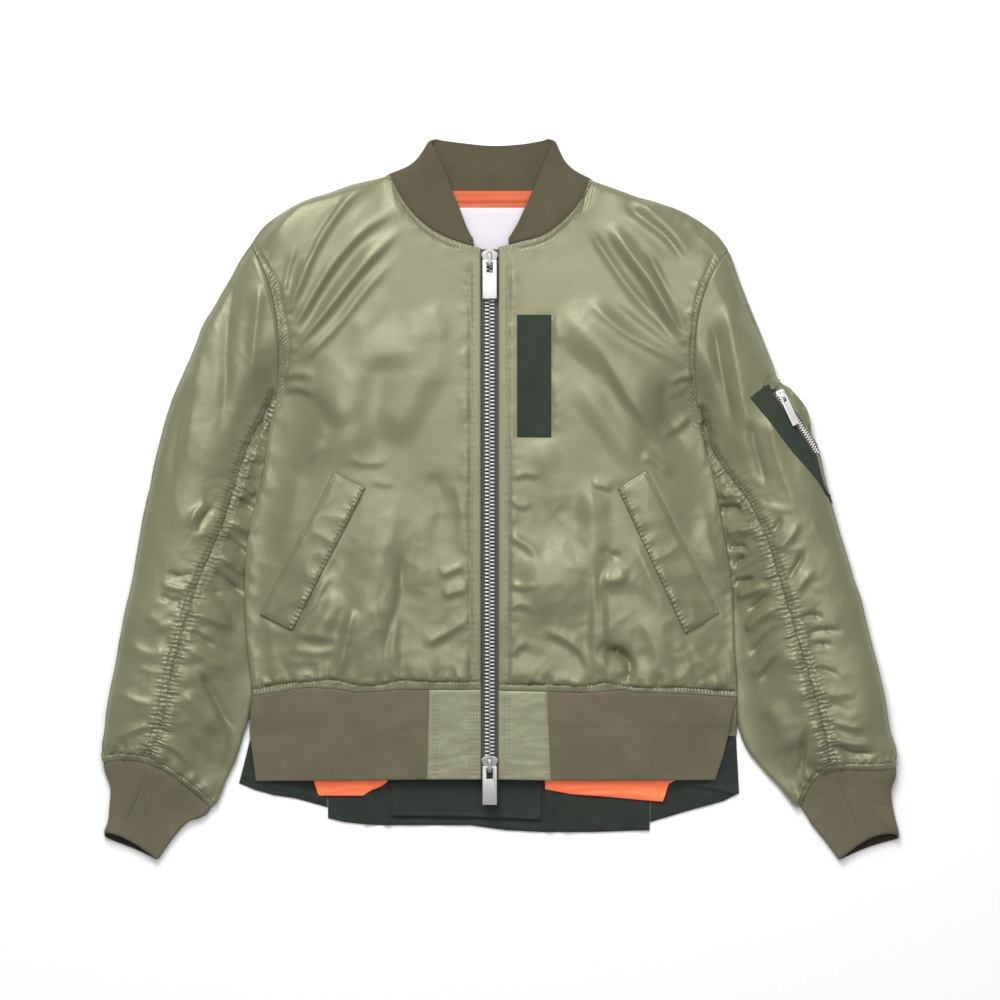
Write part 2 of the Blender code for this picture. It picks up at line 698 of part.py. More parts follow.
def zip_run(name, xs, drop, wall, look, top=ZIP_TOP_Y):
    """A strip along the closed zip, below or above the fronts' middle height."""
    ys = np.linspace(top, HEM_END_Y, 19)
    points = [[(x, y, front_z(ZIP_X, y) - drop) for x in xs] for y in ys]
    return cloth(name, points, wall, look, seams=())


def zip_pieces():
    half_gap = 0.15
    zip_run("zip_tape_right", (ZIP_RIGHT_EDGE - TAPE_TUCK, ZIP_X - half_gap), TAPE_DROP, TAPE_WALL, TAPE)
    zip_run("zip_tape_left", (ZIP_X + half_gap, ZIP_LEFT_EDGE + TAPE_TUCK), TAPE_DROP, TAPE_WALL, TAPE)
    chain_drop = TAPE_DROP - TAPE_WALL / 2 - 0.3 - CHAIN_WALL / 2
    chain = (ZIP_X - CHAIN_WIDTH / 2, ZIP_X + CHAIN_WIDTH / 2)
    zip_run("zip_chain", chain, chain_drop, CHAIN_WALL, METAL)
    return CHAIN_WALL / 2 - chain_drop


def block(name, low, high, frame, group=None):
    """A cube primitive between two corners, in the axes of a frame."""
    bpy.ops.mesh.primitive_cube_add(size=1.0)
    thing = bpy.context.object
    thing.name = name
    low, high = Vector(low), Vector(high)
    stretch = Matrix.Diagonal((*(high - low), 1.0))
    shift = Matrix.Translation((high + low) / 2)
    thing.data.transform(Matrix.Scale(MM, 4) @ shift @ stretch)
    thing.matrix_world = frame
    for owner in list(thing.users_collection):
        owner.objects.unlink(thing)
    (group or JACKET).objects.link(thing)
    if group is CUTTERS:
        thing.hide_render = True
        thing.display_type = "WIRE"
    return thing


def boolean(thing, other, operation):
    step = thing.modifiers.new(operation.lower(), "BOOLEAN")
    step.operation = operation
    step.object = other
    step.solver = "EXACT"


def slider_piece(name, frame, k):
    """A slider plate with its bail, in axes whose origin is the pull's hinge."""
    plate = block(name, (-8.5 * k, -4.7 * k, -4.7 * k), (8.5 * k, 11 * k, -2.2 * k), frame)
    plate.data.materials.append(finish_of(METAL))
    bail = block(f"{name}_bail", (-2 * k, -5.7 * k, -2.6 * k), (2 * k, 9.3 * k, 3.6 * k), frame, CUTTERS)
    window = block(f"{name}_window", (-3 * k, -3.7 * k, -1.9 * k), (3 * k, 7.3 * k, 1.9 * k), frame, CUTTERS)
    boolean(bail, window, "DIFFERENCE")
    soften(plate, 0.8 * k)
    boolean(plate, bail, "UNION")
    return plate


def soften(thing, width):
    bevel = thing.modifiers.new("soft_edges", "BEVEL")
    bevel.width = width * MM
    bevel.segments = 1
    bevel.limit_method = "ANGLE"


def pull_piece(name, frame, k, width, length):
    """A flat pull tab whose top bar turns in the slider's bail."""
    bar = 1.25 * k
    tab = block(name, (-width / 2, bar - length, -k), (width / 2, bar, k), frame)
    tab.data.materials.append(finish_of(METAL))
    soften(tab, 0.35 * k)
    slot = block(f"{name}_slot", (-3.25 * k, -11.75 * k, -3 * k), (3.25 * k, -bar, 3 * k), frame, CUTTERS)
    boolean(tab, slot, "DIFFERENCE")
    return tab


def seat(height, x, y, lift, down):
    """Axes at a height over a surface: -Y runs along down, Z out of the surface."""
    normal = facing(height, x, y)
    back = -Vector((*down, 0.0))
    back = (back - back.dot(normal) * normal).normalized()
    side = back.cross(normal)
    turn = Matrix((side, back, normal)).transposed().to_4x4()
    place = (Vector((x, y, height(x, y))) + lift * normal) * MM
    return Matrix.Translation(place) @ turn


def main_zip():
    chain_top = zip_pieces()
    along_zip = lambda x, y: front_z(ZIP_X, y) + chain_top
    for end, y in (("top", 237.75), ("bottom", -266.0)):
        frame = seat(along_zip, ZIP_X, y, 5.2, (0, -1))
        slider_piece(f"zip_slider_{end}", frame, 1.0)
        pull_piece(f"zip_pull_{end}", frame, 1.0, PULL_WIDTH, PULL_LENGTH)


def sewn_on(name, height, corners, wall, look, rows, cols, gap=LYING_GAP):
    plan = patch(corners, rows, cols)
    points = lying_on(height, plan, SHELL_WALL / 2 + gap + wall / 2)
    return cloth(name, points, wall, look, seams=())


def arm_surface(side):
    """The sleeve's upper layer as a height over a place in plan, found on its sections."""
    coarse = [(s, share) for s in np.linspace(0, CUFF_ROW, 33) for share in np.linspace(0.02, 0.9, 12)]
    places = []
    for s, share in coarse:
        section = arm_section(side, s)
        places.append(arm_plan(section, share * section["width"]))
    places = np.array(places)

    def plan_at(s, share):
        section = arm_section(side, s)
        return arm_plan(section, share * section["width"])

    def height(x, y):
        s, share = coarse[int(np.linalg.norm(places - (x, y), axis=1).argmin())]
        for _ in range(6):
            here = plan_at(s, share)
            by_s = (plan_at(s + 0.01, share) - here) / 0.01
            by_share = (plan_at(s, share + 0.001) - here) / 0.001
            step = np.linalg.solve(np.column_stack([by_s, by_share]), np.array((x, y)) - here)
            s, share = s + step[0], share + step[1]
        section = arm_section(side, s)
        return arm_point(section, s, share * section["width"], "upper")[2]

    return height


def strip_about(line, offset, width):
    """The corners of a straight strip beside a line, offset and width measured across it."""
    start, end = (np.array(point, float) for point in line)
    along = (end - start) / np.linalg.norm(end - start)
    across = np.array((-along[1], along[0]))
    low, high = offset - width / 2, offset + width / 2
    return start + low * across, start + high * across, end + high * across, end + low * across


def sleeve_pocket():
    height = arm_surface("left")
    a, b, c, d, e, f = (np.array(point, float) for point in POCKET_BAND)
    rows = []
    for v in np.linspace(0, 1, 9):
        right = b + v / 0.62 * (c - b) if v <= 0.62 else c + (v - 0.62) / 0.38 * (d - c)
        left = e + v * (f - e)
        rows.append([left + u * (right - left) for u in np.linspace(0, 1, 4)])
    lift = SHELL_WALL / 2 + POCKET_GAP
    points = lying_on(height, np.array(rows), lift + RIBBON_WALL / 2)
    cloth("sleeve_pocket_band", points, RIBBON_WALL, GREEN, seams=())
    tape = patch(strip_about(POCKET_CHAIN, 0, POCKET_TAPE_WIDTH), 9, 3)
    points = lying_on(height, tape, lift + TAPE_WALL / 2)
    cloth("sleeve_pocket_tape", points, TAPE_WALL, TAPE, seams=())
    teeth = patch(strip_about(POCKET_CHAIN, 0, POCKET_CHAIN_WIDTH), 9, 3)
    points = lying_on(height, teeth, lift + TAPE_WALL + 0.7 + 0.6)
    cloth("sleeve_pocket_chain", points, 1.2, METAL, seams=())
    sewn_on("sleeve_pocket_tab", height, POCKET_TAB, RIBBON_WALL, SAGE, 3, 3, POCKET_GAP)
    turn = math.radians(POCKET_PULL_TURN)
    down = (math.sin(turn), -math.cos(turn))
    x, y = POCKET_CHAIN[0][0] + 3.5, POCKET_CHAIN[0][1] - 3.5
    above = lift + TAPE_WALL + 0.3 + 1.2 + 0.4 + 4.7 * SMALL_SCALE
    frame = seat(height, x, y, above, down)
    slider_piece("sleeve_pocket_slider", frame, SMALL_SCALE)
    pull_piece("sleeve_pocket_pull", frame, SMALL_SCALE, 8.0, SMALL_PULL_LENGTH)


def collar_band():
    rows = []
    for seam_x, seam_y, seam_z, edge_x, edge_y, edge_z_ in COLLAR:
        if seam_z is None:
            seam_z = front_z(seam_x, seam_y)
        seam, edge = np.array((seam_x, seam_y, seam_z)), np.array((edge_x, edge_y, edge_z_))
        rows.append([seam + share * (edge - seam) for share in (0.03, 0.35, 0.7, 1.0)])
    return cloth("collar", rows, RIB_WALL, RIB, seams=("first_col",))


def flat_piece(name, corners, bottom, wall, look, rows=3, cols=3):
    plan = patch(corners, rows, cols)
    middle = bottom + wall / 2
    return cloth(name, lying_on(flat_at(middle), plan, 0.0), wall, look, seams=())


def build():
    for side in ("right", "left"):
        front_piece(side)
        for piece in ("upper", "under"):
            sleeve_piece(side, piece)
        cuff_piece(side)
    back_piece()
    collar_band()
    hem_pieces()
    main_zip()
    for side in ("right", "left"):
        sewn_on(f"pocket_welt_{side}", front_z, WELT[side], LINING_WALL, SAGE, 9, 4)
    sewn_on("chest_ribbon", front_z, CHEST_RIBBON, RIBBON_WALL, GREEN, 7, 3)
    sleeve_pocket()
    over_back = SHELL_WALL + LYING_GAP
    flat_piece("lining_neck", LINING_NECK, over_back, LINING_WALL, ORANGE)
    flat_piece("neck_label", NECK_LABEL, over_back + LINING_WALL + 0.4, LABEL_WALL, WHITE)
    for side in ("right", "left"):
        flat_piece(f"back_hem_side_{side}", HEM_SIDES[side], 0.0, BAND_WALL, GREEN)
        flat_piece(f"lining_hem_{side}", HEM_LINING[side], BAND_WALL + 0.4, LINING_WALL, ORANGE)
    flat_piece("back_hem_pleat", HEM_PLEAT, 0.0, BAND_WALL, GREEN)
    flat_piece("back_hem_box_pleat", HEM_BOX_PLEAT, BAND_WALL + 0.4, BAND_WALL, GREEN)


build()
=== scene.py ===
"""A bomber jacket laid flat on its back, front up and zipped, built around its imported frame.

Sizes are in millimetres in the tables and become metres where a mesh is made. X runs towards the
wearer's left arm, Y from the hem to the collar, Z up from the surface that the jacket lies on.
"""

import math

import bpy
import numpy as np
from mathutils import Matrix, Vector
from mathutils.bvhtree import BVHTree


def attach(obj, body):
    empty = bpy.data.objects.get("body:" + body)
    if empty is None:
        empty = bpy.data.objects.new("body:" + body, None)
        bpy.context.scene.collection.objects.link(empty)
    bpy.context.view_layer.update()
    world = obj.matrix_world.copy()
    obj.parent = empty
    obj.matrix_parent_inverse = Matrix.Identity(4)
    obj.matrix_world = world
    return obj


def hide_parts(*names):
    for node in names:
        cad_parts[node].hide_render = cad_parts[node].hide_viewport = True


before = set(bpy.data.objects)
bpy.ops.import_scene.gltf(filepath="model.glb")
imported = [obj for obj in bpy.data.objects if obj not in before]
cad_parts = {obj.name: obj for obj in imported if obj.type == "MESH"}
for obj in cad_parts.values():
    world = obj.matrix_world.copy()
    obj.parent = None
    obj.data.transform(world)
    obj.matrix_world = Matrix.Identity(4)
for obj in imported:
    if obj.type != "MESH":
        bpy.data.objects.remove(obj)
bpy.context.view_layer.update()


# The two fronts: satin nylon on a light interlining, cut in one piece from shoulder to hem seam.
# Each is a thin shell on its solid's form, with the folds that the laid jacket shows pulled up
# and pressed down in it, a stitched allowance at the armhole and small gathers at every seam.

MM = 0.001
SIDES = ("right", "left")
TURN = {"right": 1, "left": -1}
SHELL_WALL = 2.4
SHELL_HALF = SHELL_WALL / 2
TABLE_Z = SHELL_WALL / 2
SEAM_HALF_GAP = 0.12
ZIP_X = -10.3
ZIP_EDGE = {"right": -19.0, "left": -1.6}
HEM_SEAM_Y = -190.0
SHOULDER_ROUND, SIDE_ROUND = 45.0, 75.0
SIDE_FRONT_Z, SIDE_BACK_Z = 12.3, 9.6
OPEN_FRONT_Z, OPEN_BACK_Z = 14.0, 8.0
UNDERARM_DROP = 30.0
BACK_HOLD, BACK_FALL = 7.5, 14.0
ARM_EDGE_Z, ARM_UNDER_Z, ARM_THIN_Z = 15.0, 7.0, 5.5
ARM_ROUND, ARM_EASE, ARM_UNDER_HOLD, ARM_UNDER_FALL = 40.0, 70.0, 2.5, 10.0
FOLD_REACH, UNDER_REACH = 28.0, 22.0
LAST_ROW, CUFF_ROW = 11, 8

# Height of the upper layer's middle over the body, from hem to neck: y, z
BODY_HEIGHT = ((-285, 15), (-192, 23), (-120, 29), (120, 31), (230, 27), (330, 21))
# From the neck to the sleeve head, and from the shoulder to the zip: x, y
SHOULDER = {
    "right": ((-110, 324), (-142, 312), (-170, 302), (-201, 292.5), (-235, 273), (-249, 254)),
    "left": ((89, 319), (131, 304), (188, 284), (217, 264), (228, 249)),
}
NECK = {
    "right": ((-110, 325), (-100, 304), (-87, 286), (-64, 267), (-43, 258), (-19, 251)),
    "left": ((89, 319), (80, 298), (66, 281), (41, 263), (22, 258), (-1.6, 252)),
}
# From the underarm to the hem seam: x, y. Then down the hem band: x, y, z of its side edge
SIDE = {
    "right": ((-224, 98), (-231, 70), (-238, 20), (-249, -20), (-255, -100), (-252, -150), (-247, -190)),
    "left": ((199, 79), (206, 50), (214, 20), (221, -20), (232, -90), (234, -145), (237, -190)),
}
HEM_SIDE = {
    "right": (
        (-247.5, -190, 12.3), (-249.5, -214, 12.3), (-250, -236, 7), (-248, -250, 6.5), (-244, -281, 6),
    ),
    "left": ((237, -190, 12.3), (232.5, -214, 12.3), (228, -236, 7), (223, -256, 6.5), (215, -280, 6)),
}
# Sleeve sections from the armhole to the cuff's end: outer and inner points of the outline, the
# bow towards the shoulder and where it peaks, the upper layer's height, and the seams' shares in
ARM = {"right": (
    (-249, 254, -224, 98, 14, 0.45, 30, 0.90, 0.86),
    (-279, 204, -227, 79, 8, 0.5, 32, 0.88, 0.83),
    (-308, 144, -228, 53, 3, 0.5, 34, 0.80, 0.80),
    (-333, 84, -233, 21, 0, 0.5, 34, 0.75, 0.72),
    (-351, 4, -243, -35, 0, 0.5, 34, 0.685, 0.65),
    (-367, -76, -248, -105, 0, 0.5, 33, 0.525, 0.58),
    (-383, -156, -243.5, -175, 0, 0.5, 32, 0.41, 0.52),
    (-393, -216, -259, -243, 4, 0.45, 30, 0.40, 0.50),
    (-397, -264, -288, -308, 18, 0.4, 22, 0.36, 0.50),
    (-390, -287, -312, -322, 10, 0.4, 18, 0.38, 0.50),
    (-390, -313, -328, -340, 5, 0.45, 15, 0.34, 0.50),
    (-396, -333, -342, -360, 3, 0.45, 13, 0.32, 0.50),
), "left": (
    (228, 249, 199, 79, 19, 0.42, 30, 0.88, 0.86),
    (249, 194, 202, 62, 10, 0.5, 32, 0.88, 0.83),
    (268, 144, 205, 38, 4, 0.5, 34, 0.87, 0.80),
    (300, 90, 210, 4, 0, 0.5, 34, 0.78, 0.75),
    (328, 4, 220.5, -45, 0, 0.5, 34, 0.62, 0.68),
    (350, -66, 228.5, -105, 0, 0.5, 33, 0.56, 0.60),
    (370, -136, 231.5, -165, 0, 0.5, 32, 0.50, 0.55),
    (386, -211, 246, -246, 5, 0.6, 30, 0.45, 0.50),
    (396, -266, 300, -308, 22, 0.65, 22, 0.57, 0.50),
    (391, -291, 311, -324, 12, 0.6, 18, 0.58, 0.50),
    (394, -314, 325, -341, 6, 0.6, 15, 0.60, 0.50),
    (399.5, -337, 339, -360, 4, 0.45, 13, 0.58, 0.50),
)}


def ease(share):
    share = np.clip(share, 0.0, 1.0)
    return share * share * (3 - 2 * share)


def rounded(share):
    """Height along a quarter ellipse, from 0 at the edge to 1."""
    return np.sqrt(np.clip(1 - (1 - np.clip(share, 0.0, 1.0)) ** 2, 0.0, 1.0))


def hump(gap, width, power=2):
    """1 where the gap is nothing, falling away softly past the width."""
    return np.exp(-np.abs(gap / width) ** power)


def walked(line):
    """How far along a line of points each of them is."""
    return np.concatenate([[0], np.cumsum(np.linalg.norm(np.diff(line, axis=0), axis=1))])


def line_length(line):
    return float(np.linalg.norm(np.diff(line, axis=0), axis=1).sum())


def curve(rows, at, stops=None):
    """A smooth curve through rows of numbers, read at 0 to 1 along it or between the given stops."""
    rows, at = np.array(rows, float), np.asarray(at, float)
    if stops is None:
        stops = walked(rows[:, :2]) / line_length(rows[:, :2])
    slope = np.gradient(rows, stops, axis=0)
    at = np.clip(at, stops[0], stops[-1])
    low = np.clip(np.searchsorted(stops, at, side="right") - 1, 0, len(stops) - 2)
    span = (stops[low + 1] - stops[low])[..., None]
    q = (at - stops[low])[..., None] / span
    start = (1 + 2 * q) * (1 - q) ** 2 * rows[low] + q * (1 - q) ** 2 * span * slope[low]
    end = q * q * (3 - 2 * q) * rows[low + 1] + q * q * (q - 1) * span * slope[low + 1]
    return start + end


def off_line(line, x, y):
    """From each place in plan to a line: distance, share of the way along it, and which side."""
    line = np.array(line, float)[:, :2]
    steps = np.diff(line, axis=0)
    lengths = np.maximum(np.linalg.norm(steps, axis=1), 1e-9)
    best = np.full(np.shape(x), np.inf)
    share, side = np.zeros(np.shape(x)), np.ones(np.shape(x))
    for k, (start, step, length) in enumerate(zip(line[:-1], steps, lengths)):
        dx, dy = x - start[0], y - start[1]
        t = np.clip((dx * step[0] + dy * step[1]) / length ** 2, 0, 1)
        gap = np.hypot(dx - t * step[0], dy - t * step[1])
        nearer = gap < best
        best = np.where(nearer, gap, best)
        share = np.where(nearer, (k + t) / len(steps), share)
        side = np.where(nearer, np.where(step[0] * dy - step[1] * dx >= 0, 1.0, -1.0), side)
    return best, share, side


def line_through(rows, count=60):
    return curve(np.array(rows, float)[:, :2], np.linspace(0, 1, count + 1))


SHOULDER_LINE = {side: line_through(SHOULDER[side]) for side in SHOULDER}
SIDE_LINE = {
    side: np.concatenate([line_through(SIDE[side]), line_through(HEM_SIDE[side], 30)]) for side in SIDE
}
HEM_SIDE_Y = [-row[1] for row in HEM_SIDE["right"]]
HEM_SIDE_Z = [row[2] for row in HEM_SIDE["right"]]


def body_height(x, y):
    """Middle height of the body's upper layer over places in plan."""
    x, y = np.asarray(x, float), np.asarray(y, float)
    from_shoulder = np.minimum(*[off_line(SHOULDER_LINE[side], x, y)[0] for side in SHOULDER])
    from_side = np.minimum(*[off_line(SIDE_LINE[side], x, y)[0] for side in SIDE])
    low = np.interp(-y, HEM_SIDE_Y, HEM_SIDE_Z)
    rise = rounded(from_shoulder / SHOULDER_ROUND) * ease(from_side / SIDE_ROUND)
    return low + (np.interp(y, *zip(*BODY_HEIGHT)) - low) * rise


def fall(distance, edge, hold, run):
    """The under layer comes down from a lifted edge to the surface below."""
    return TABLE_Z + (edge - TABLE_Z) * (1 - ease((distance - hold) / run))


# Where a sleeve's outline dents in or stands out between those rows: row, how far in, how long
ARM_DENTS = {"right": (), "left": ((2.5, 5.0, 0.26), (3.45, -3.5, 0.42), (1.7, -2.0, 0.5))}


def arm_section(side, s):
    """The sizes of a sleeve's section, s counting the rows of its table."""
    outer_x, outer_y, inner_x, inner_y, bow, peak, crown, front, back = curve(
        ARM[side], s, np.arange(LAST_ROW + 1.0))
    for row, depth, reach in ARM_DENTS[side]:
        outer_x -= depth * math.exp(-(((s - row) / reach) ** 2))
    outer, inner = np.array((outer_x, outer_y)), np.array((inner_x, inner_y))
    width = float(np.linalg.norm(inner - outer))
    across = (inner - outer) / width
    return {
        "s": float(s), "outer": outer, "width": width, "across": across, "bow": bow, "crown": crown,
        "up": np.array((-across[1], across[0])) * TURN[side], "bend": math.log(0.5) / math.log(peak),
        "front": front * width, "back": back * width,
    }


def arm_plan(section, e):
    """Places in plan at e millimetres in from a section's outer edge."""
    e = np.asarray(e, float)
    share = np.clip(e / section["width"], 0, 1)
    bow = section["bow"] * np.sin(np.pi * share ** section["bend"])
    return section["outer"] + e[..., None] * section["across"] + bow[..., None] * section["up"]


def arm_edges(s):
    """Heights of the upper and under layers at the outer and the inner fold of a section."""
    opened, thinned, settled = ease(s / 1.2), ease(s / 1.3), ease((s - 6.5) / 2.0)
    outer_top = OPEN_FRONT_Z + (ARM_EDGE_Z - OPEN_FRONT_Z) * opened - 5.5 * settled
    outer_under = OPEN_BACK_Z + (ARM_UNDER_Z - OPEN_BACK_Z) * opened - 3.5 * settled
    inner_top = OPEN_FRONT_Z + (ARM_THIN_Z - OPEN_FRONT_Z) * thinned + 1.5 * settled
    inner_under = OPEN_BACK_Z + (TABLE_Z - OPEN_BACK_Z) * thinned
    return outer_top, outer_under, inner_top, inner_under


def arm_height(section, e, upper):
    """Middle height of a sleeve's upper or under layer at e millimetres in from the outer edge."""
    s, width = section["s"], section["width"]
    outer_top, outer_under, inner_top, inner_under = arm_edges(s)
    if upper:
        low = outer_top + (inner_top - outer_top) * ease(e / width)
        rise = rounded((e - ARM_UNDER_HOLD) / ARM_ROUND)
        rise = rise * ease((width - e - ARM_UNDER_HOLD) / ARM_EASE)
        return low + (section["crown"] - low) * rise
    opened = ease(s / 1.2)
    hold = BACK_HOLD + (ARM_UNDER_HOLD - BACK_HOLD) * opened
    run = BACK_FALL + (ARM_UNDER_FALL - BACK_FALL) * opened
    return fall(e, outer_under, hold, run) + fall(width - e, inner_under, hold, run) - TABLE_Z


def arm_ring(section, stops):
    """Points at (e, upper or not) stops round a section, hairpins at its two folds."""
    tops = arm_edges(section["s"])
    points = []
    for e, upper in stops:
        outer = e < section["width"] / 2
        near = e if outer else section["width"] - e
        if near >= ARM_UNDER_HOLD:
            points.append((*arm_plan(section, e), float(arm_height(section, e, upper))))
            continue
        top, under = tops[:2] if outer else tops[2:]
        reach = (top - under) / 2 * rounded(near / ARM_UNDER_HOLD)
        z = (top + under) / 2 + (reach if upper else -reach)
        turned = near + SHELL_HALF * (1 - near / ARM_UNDER_HOLD)
        place = turned if outer else section["width"] - turned
        points.append((*arm_plan(section, place), float(z)))
    return np.array(points)


NECK_SHARE = 0.55
UNDERARM_SHARE = 0.62
UP_ARMHOLE = (UNDERARM_SHARE, 0.65, 0.72, 0.79, 0.86, 0.93, 0.96, 0.98, 1)


def armhole_place(section, v, upper):
    """How far from the sleeve head the armhole is, at shares of the way up the body."""
    if upper:
        stops = [section["width"], *np.linspace(section["front"], FOLD_REACH, 5), 14.0, 6.0, 0.0]
    else:
        seam = np.linspace(section["back"], UNDER_REACH, 4)
        stops = [section["width"], *seam, 14.0, 6.0, ARM_UNDER_HOLD, 0.0]
    return np.interp(v, UP_ARMHOLE, stops)


def body_edge(side, v, upper=True):
    """The outer edge of a front or the back in plan: up the side, then round the armhole."""
    up_side = curve(SIDE[side], 1 - v / UNDERARM_SHARE)
    section = arm_section(side, 0.0)
    round_armhole = arm_plan(section, armhole_place(section, v, upper))
    return np.where((v <= UNDERARM_SHARE)[:, None], up_side, round_armhole)


def edge_heights(side, v, upper=True):
    """Heights along that outer edge."""
    section = arm_section(side, 0.0)
    length = line_length(SIDE_LINE[side][:61])
    shut, opened = (SIDE_FRONT_Z, OPEN_FRONT_Z) if upper else (SIDE_BACK_Z, OPEN_BACK_Z)
    below = (1 - v / UNDERARM_SHARE) * length
    on_side = shut + (opened - shut) * (1 - ease(below / UNDERARM_DROP))
    e = armhole_place(section, v, upper)
    near = np.minimum(e, section["width"] - e)
    round_armhole = np.where(near < ARM_UNDER_HOLD, opened, arm_height(section, e, upper))
    return np.where(v < UNDERARM_SHARE, on_side, round_armhole)


def blended(bottom, right, top, left, across, up):
    """Plan points of a patch drawn between its four edges, each given as an array of places."""
    u, v = across[None, :, None], up[:, None, None]
    ruled = (1 - v) * bottom[None] + v * top[None] + (1 - u) * left[:, None] + u * right[:, None]
    corners = (1 - u) * ((1 - v) * bottom[0] + v * top[0]) + u * ((1 - v) * bottom[-1] + v * top[-1])
    return ruled - corners


def rim_shares(count, fine=(0.0016, 0.004, 0.0075)):
    """Even shares from 0 to 1, closer together at the two ends where an edge rolls over."""
    fine = np.array(fine)
    inner = max(0.0125, 1.7 * fine[-1])
    return np.concatenate([[0], fine, np.linspace(inner, 1 - inner, count), 1 - fine[::-1], [1]])


def met(points, rim, wanted, reach):
    """Heights changed near the first column or the last row so that it meets those wanted there."""
    points = points.copy()
    edge = points[:, :1] if rim == "first_col" else points[-1:, :]
    miss = wanted[:, None] - edge[..., 2] if rim == "first_col" else wanted[None, :] - edge[..., 2]
    gone = np.linalg.norm(points[..., :2] - edge[..., :2], axis=2)
    points[..., 2] += miss * (1 - ease(gone / reach))
    return points


def evened(points, where, passes):
    """Heights averaged with their neighbours' in part of a grid, its rims kept."""
    points = points.copy()
    z = points[..., 2]
    for _ in range(passes):
        mean = (z[:-2, 1:-1] + z[2:, 1:-1] + z[1:-1, :-2] + z[1:-1, 2:]) / 4
        z[1:-1, 1:-1] += (mean - z[1:-1, 1:-1]) * where[1:-1, 1:-1]
    return points


def outward(points):
    """Unit normals of a grid of points, upwards or outwards when its columns run to the right."""
    along = np.gradient(points, axis=1)
    up = np.gradient(points, axis=0)
    normal = np.cross(along, up)
    return normal / np.maximum(np.linalg.norm(normal, axis=2, keepdims=True), 1e-9)


def walked_grid(points):
    """How far along its row, and along its column, each point of a grid is."""
    across = np.linalg.norm(np.diff(points, axis=1), axis=2)
    up = np.linalg.norm(np.diff(points, axis=0), axis=2)
    across, up = np.cumsum(across, axis=1), np.cumsum(up, axis=0)
    return np.pad(across, ((0, 0), (1, 0))), np.pad(up, ((1, 0), (0, 0)))


def rim_gap(points):
    """Distance of each point from the four rims of its grid, measured along the grid."""
    across, up = walked_grid(points)
    return {
        "first_col": across, "last_col": across[:, -1:] - across,
        "first_row": up, "last_row": up[-1:, :] - up,
    }


def sewn_shares(length, step, near=14.0, close=1.1):
    """Shares of a length, a step apart, closer by its two sewn ends and closest where they roll."""
    end = np.array([0, 0.35, 0.8, 1.5, *np.arange(2.4, near, close)])
    middle = np.linspace(near, length - near, int((length - 2 * near) / step))
    return np.concatenate([end, middle, length - end[::-1]]) / length


# Folds pressed into cloth. Each adds to the heights of the places near it. In the tables of folds
# a path is a row of numbers, x and y of each of its points in turn.


def beside_path(path, x, y, reach):
    """The places near a path, and each one's distance, share of the way along it, and side."""
    path = np.reshape(path, (-1, 2)).astype(float)
    low, high = path.min(axis=0) - reach, path.max(axis=0) + reach
    near = (x > low[0]) & (x < high[0]) & (y > low[1]) & (y < high[1])
    return near, *off_line(curve(path, np.linspace(0, 1, 17)), x[near], y[near])


def crease(relief, x, y, path, width, height, lee=0.0, start=0.2, end=0.35, flare=0.0):
    """A soft ridge (height above 0) or trough along a path, with a shallow dip beside it."""
    near, gap, share, side = beside_path(path, x, y, width * (1 + flare) * 3.6)
    if not near.any():
        return
    wide = width * (1 + flare * share)
    swell = ease(share / start) * ease((1 - share) / end)
    lee_side = side < 0
    wide = wide * np.where(lee_side, 1.0, 1.0 + 0.9 * lee)
    ridge = hump(gap, wide, 1.6 - 0.25 * lee)
    dip = hump(gap - 2.1 * wide, 1.5 * wide) - hump(2.1, 1.5)
    relief[near] += height * swell * (ridge - 0.35 * lee * np.maximum(dip, 0) * lee_side)


def facet(relief, x, y, path, width, height, run=30.0):
    """A flat slant along a path, high on its left, that dies away beyond its high edge."""
    near, gap, share, side = beside_path(path, x, y, width + run)
    gap = gap * side
    swell = ease(share / 0.3) * ease((1 - share) / 0.3)
    rise = np.clip((gap + width) / (2 * width), 0, 1)
    slant = (0.45 * rise + 0.55 * ease(rise)) * (1 - ease((gap - width) / run))
    relief[near] += height * swell * slant


def gathers(relief, x, y, seam, way, pitch, reach, height, seed, width=0.33):
    """Short folds that run off a seam to one side, uneven in length, depth and spacing."""
    draw = np.random.default_rng(seed)
    line = line_through(seam, 80)
    length = line_length(line)
    place = draw.uniform(0.2, 0.8) * pitch
    while place < length - 0.3 * pitch:
        share = place / length
        here, ahead = curve(line, np.array((share, min(share + 0.01, 1.0))))
        back = curve(line, np.array((max(share - 0.01, 0.0),)))[0]
        along = (ahead - back) / np.linalg.norm(ahead - back)
        off = way * np.array((-along[1], along[0]))
        turn = math.radians(draw.normal(0, 16))
        run = off * math.cos(turn) + along * math.sin(turn)
        long = reach * draw.uniform(0.5, 1.5)
        bend = draw.normal(0, 0.12) * long
        tall = height * draw.uniform(0.45, 1.25)
        side = np.array((-run[1], run[0]))
        path = (here, here + 0.5 * long * run + bend * side, here + long * run)
        crease(relief, x, y, path, width * pitch * draw.uniform(0.8, 1.2), tall, 0.9, 0.12, 0.8, 0.9)
        place += pitch * draw.uniform(0.7, 1.35)


def stitched(relief, x, y, path, depth, pitch, seed, width=1.5, shoulder=3.0):
    """A line of stitching pulled down into the cloth, puckered between its stitches."""
    line = line_through(path)
    gap, share, _ = off_line(line, x, y)
    near = gap < 4 * shoulder
    gap, along = gap[near], share[near] * line_length(line)
    jitter = lumps(along, 0 * along + seed, 3.1 * pitch, seed)
    wave = np.sin(2 * np.pi * along / pitch + 3.0 * jitter)
    relief[near] -= depth * hump(gap, width)
    relief[near] += 0.35 * depth * wave * hump(gap - shoulder, 0.7 * shoulder)


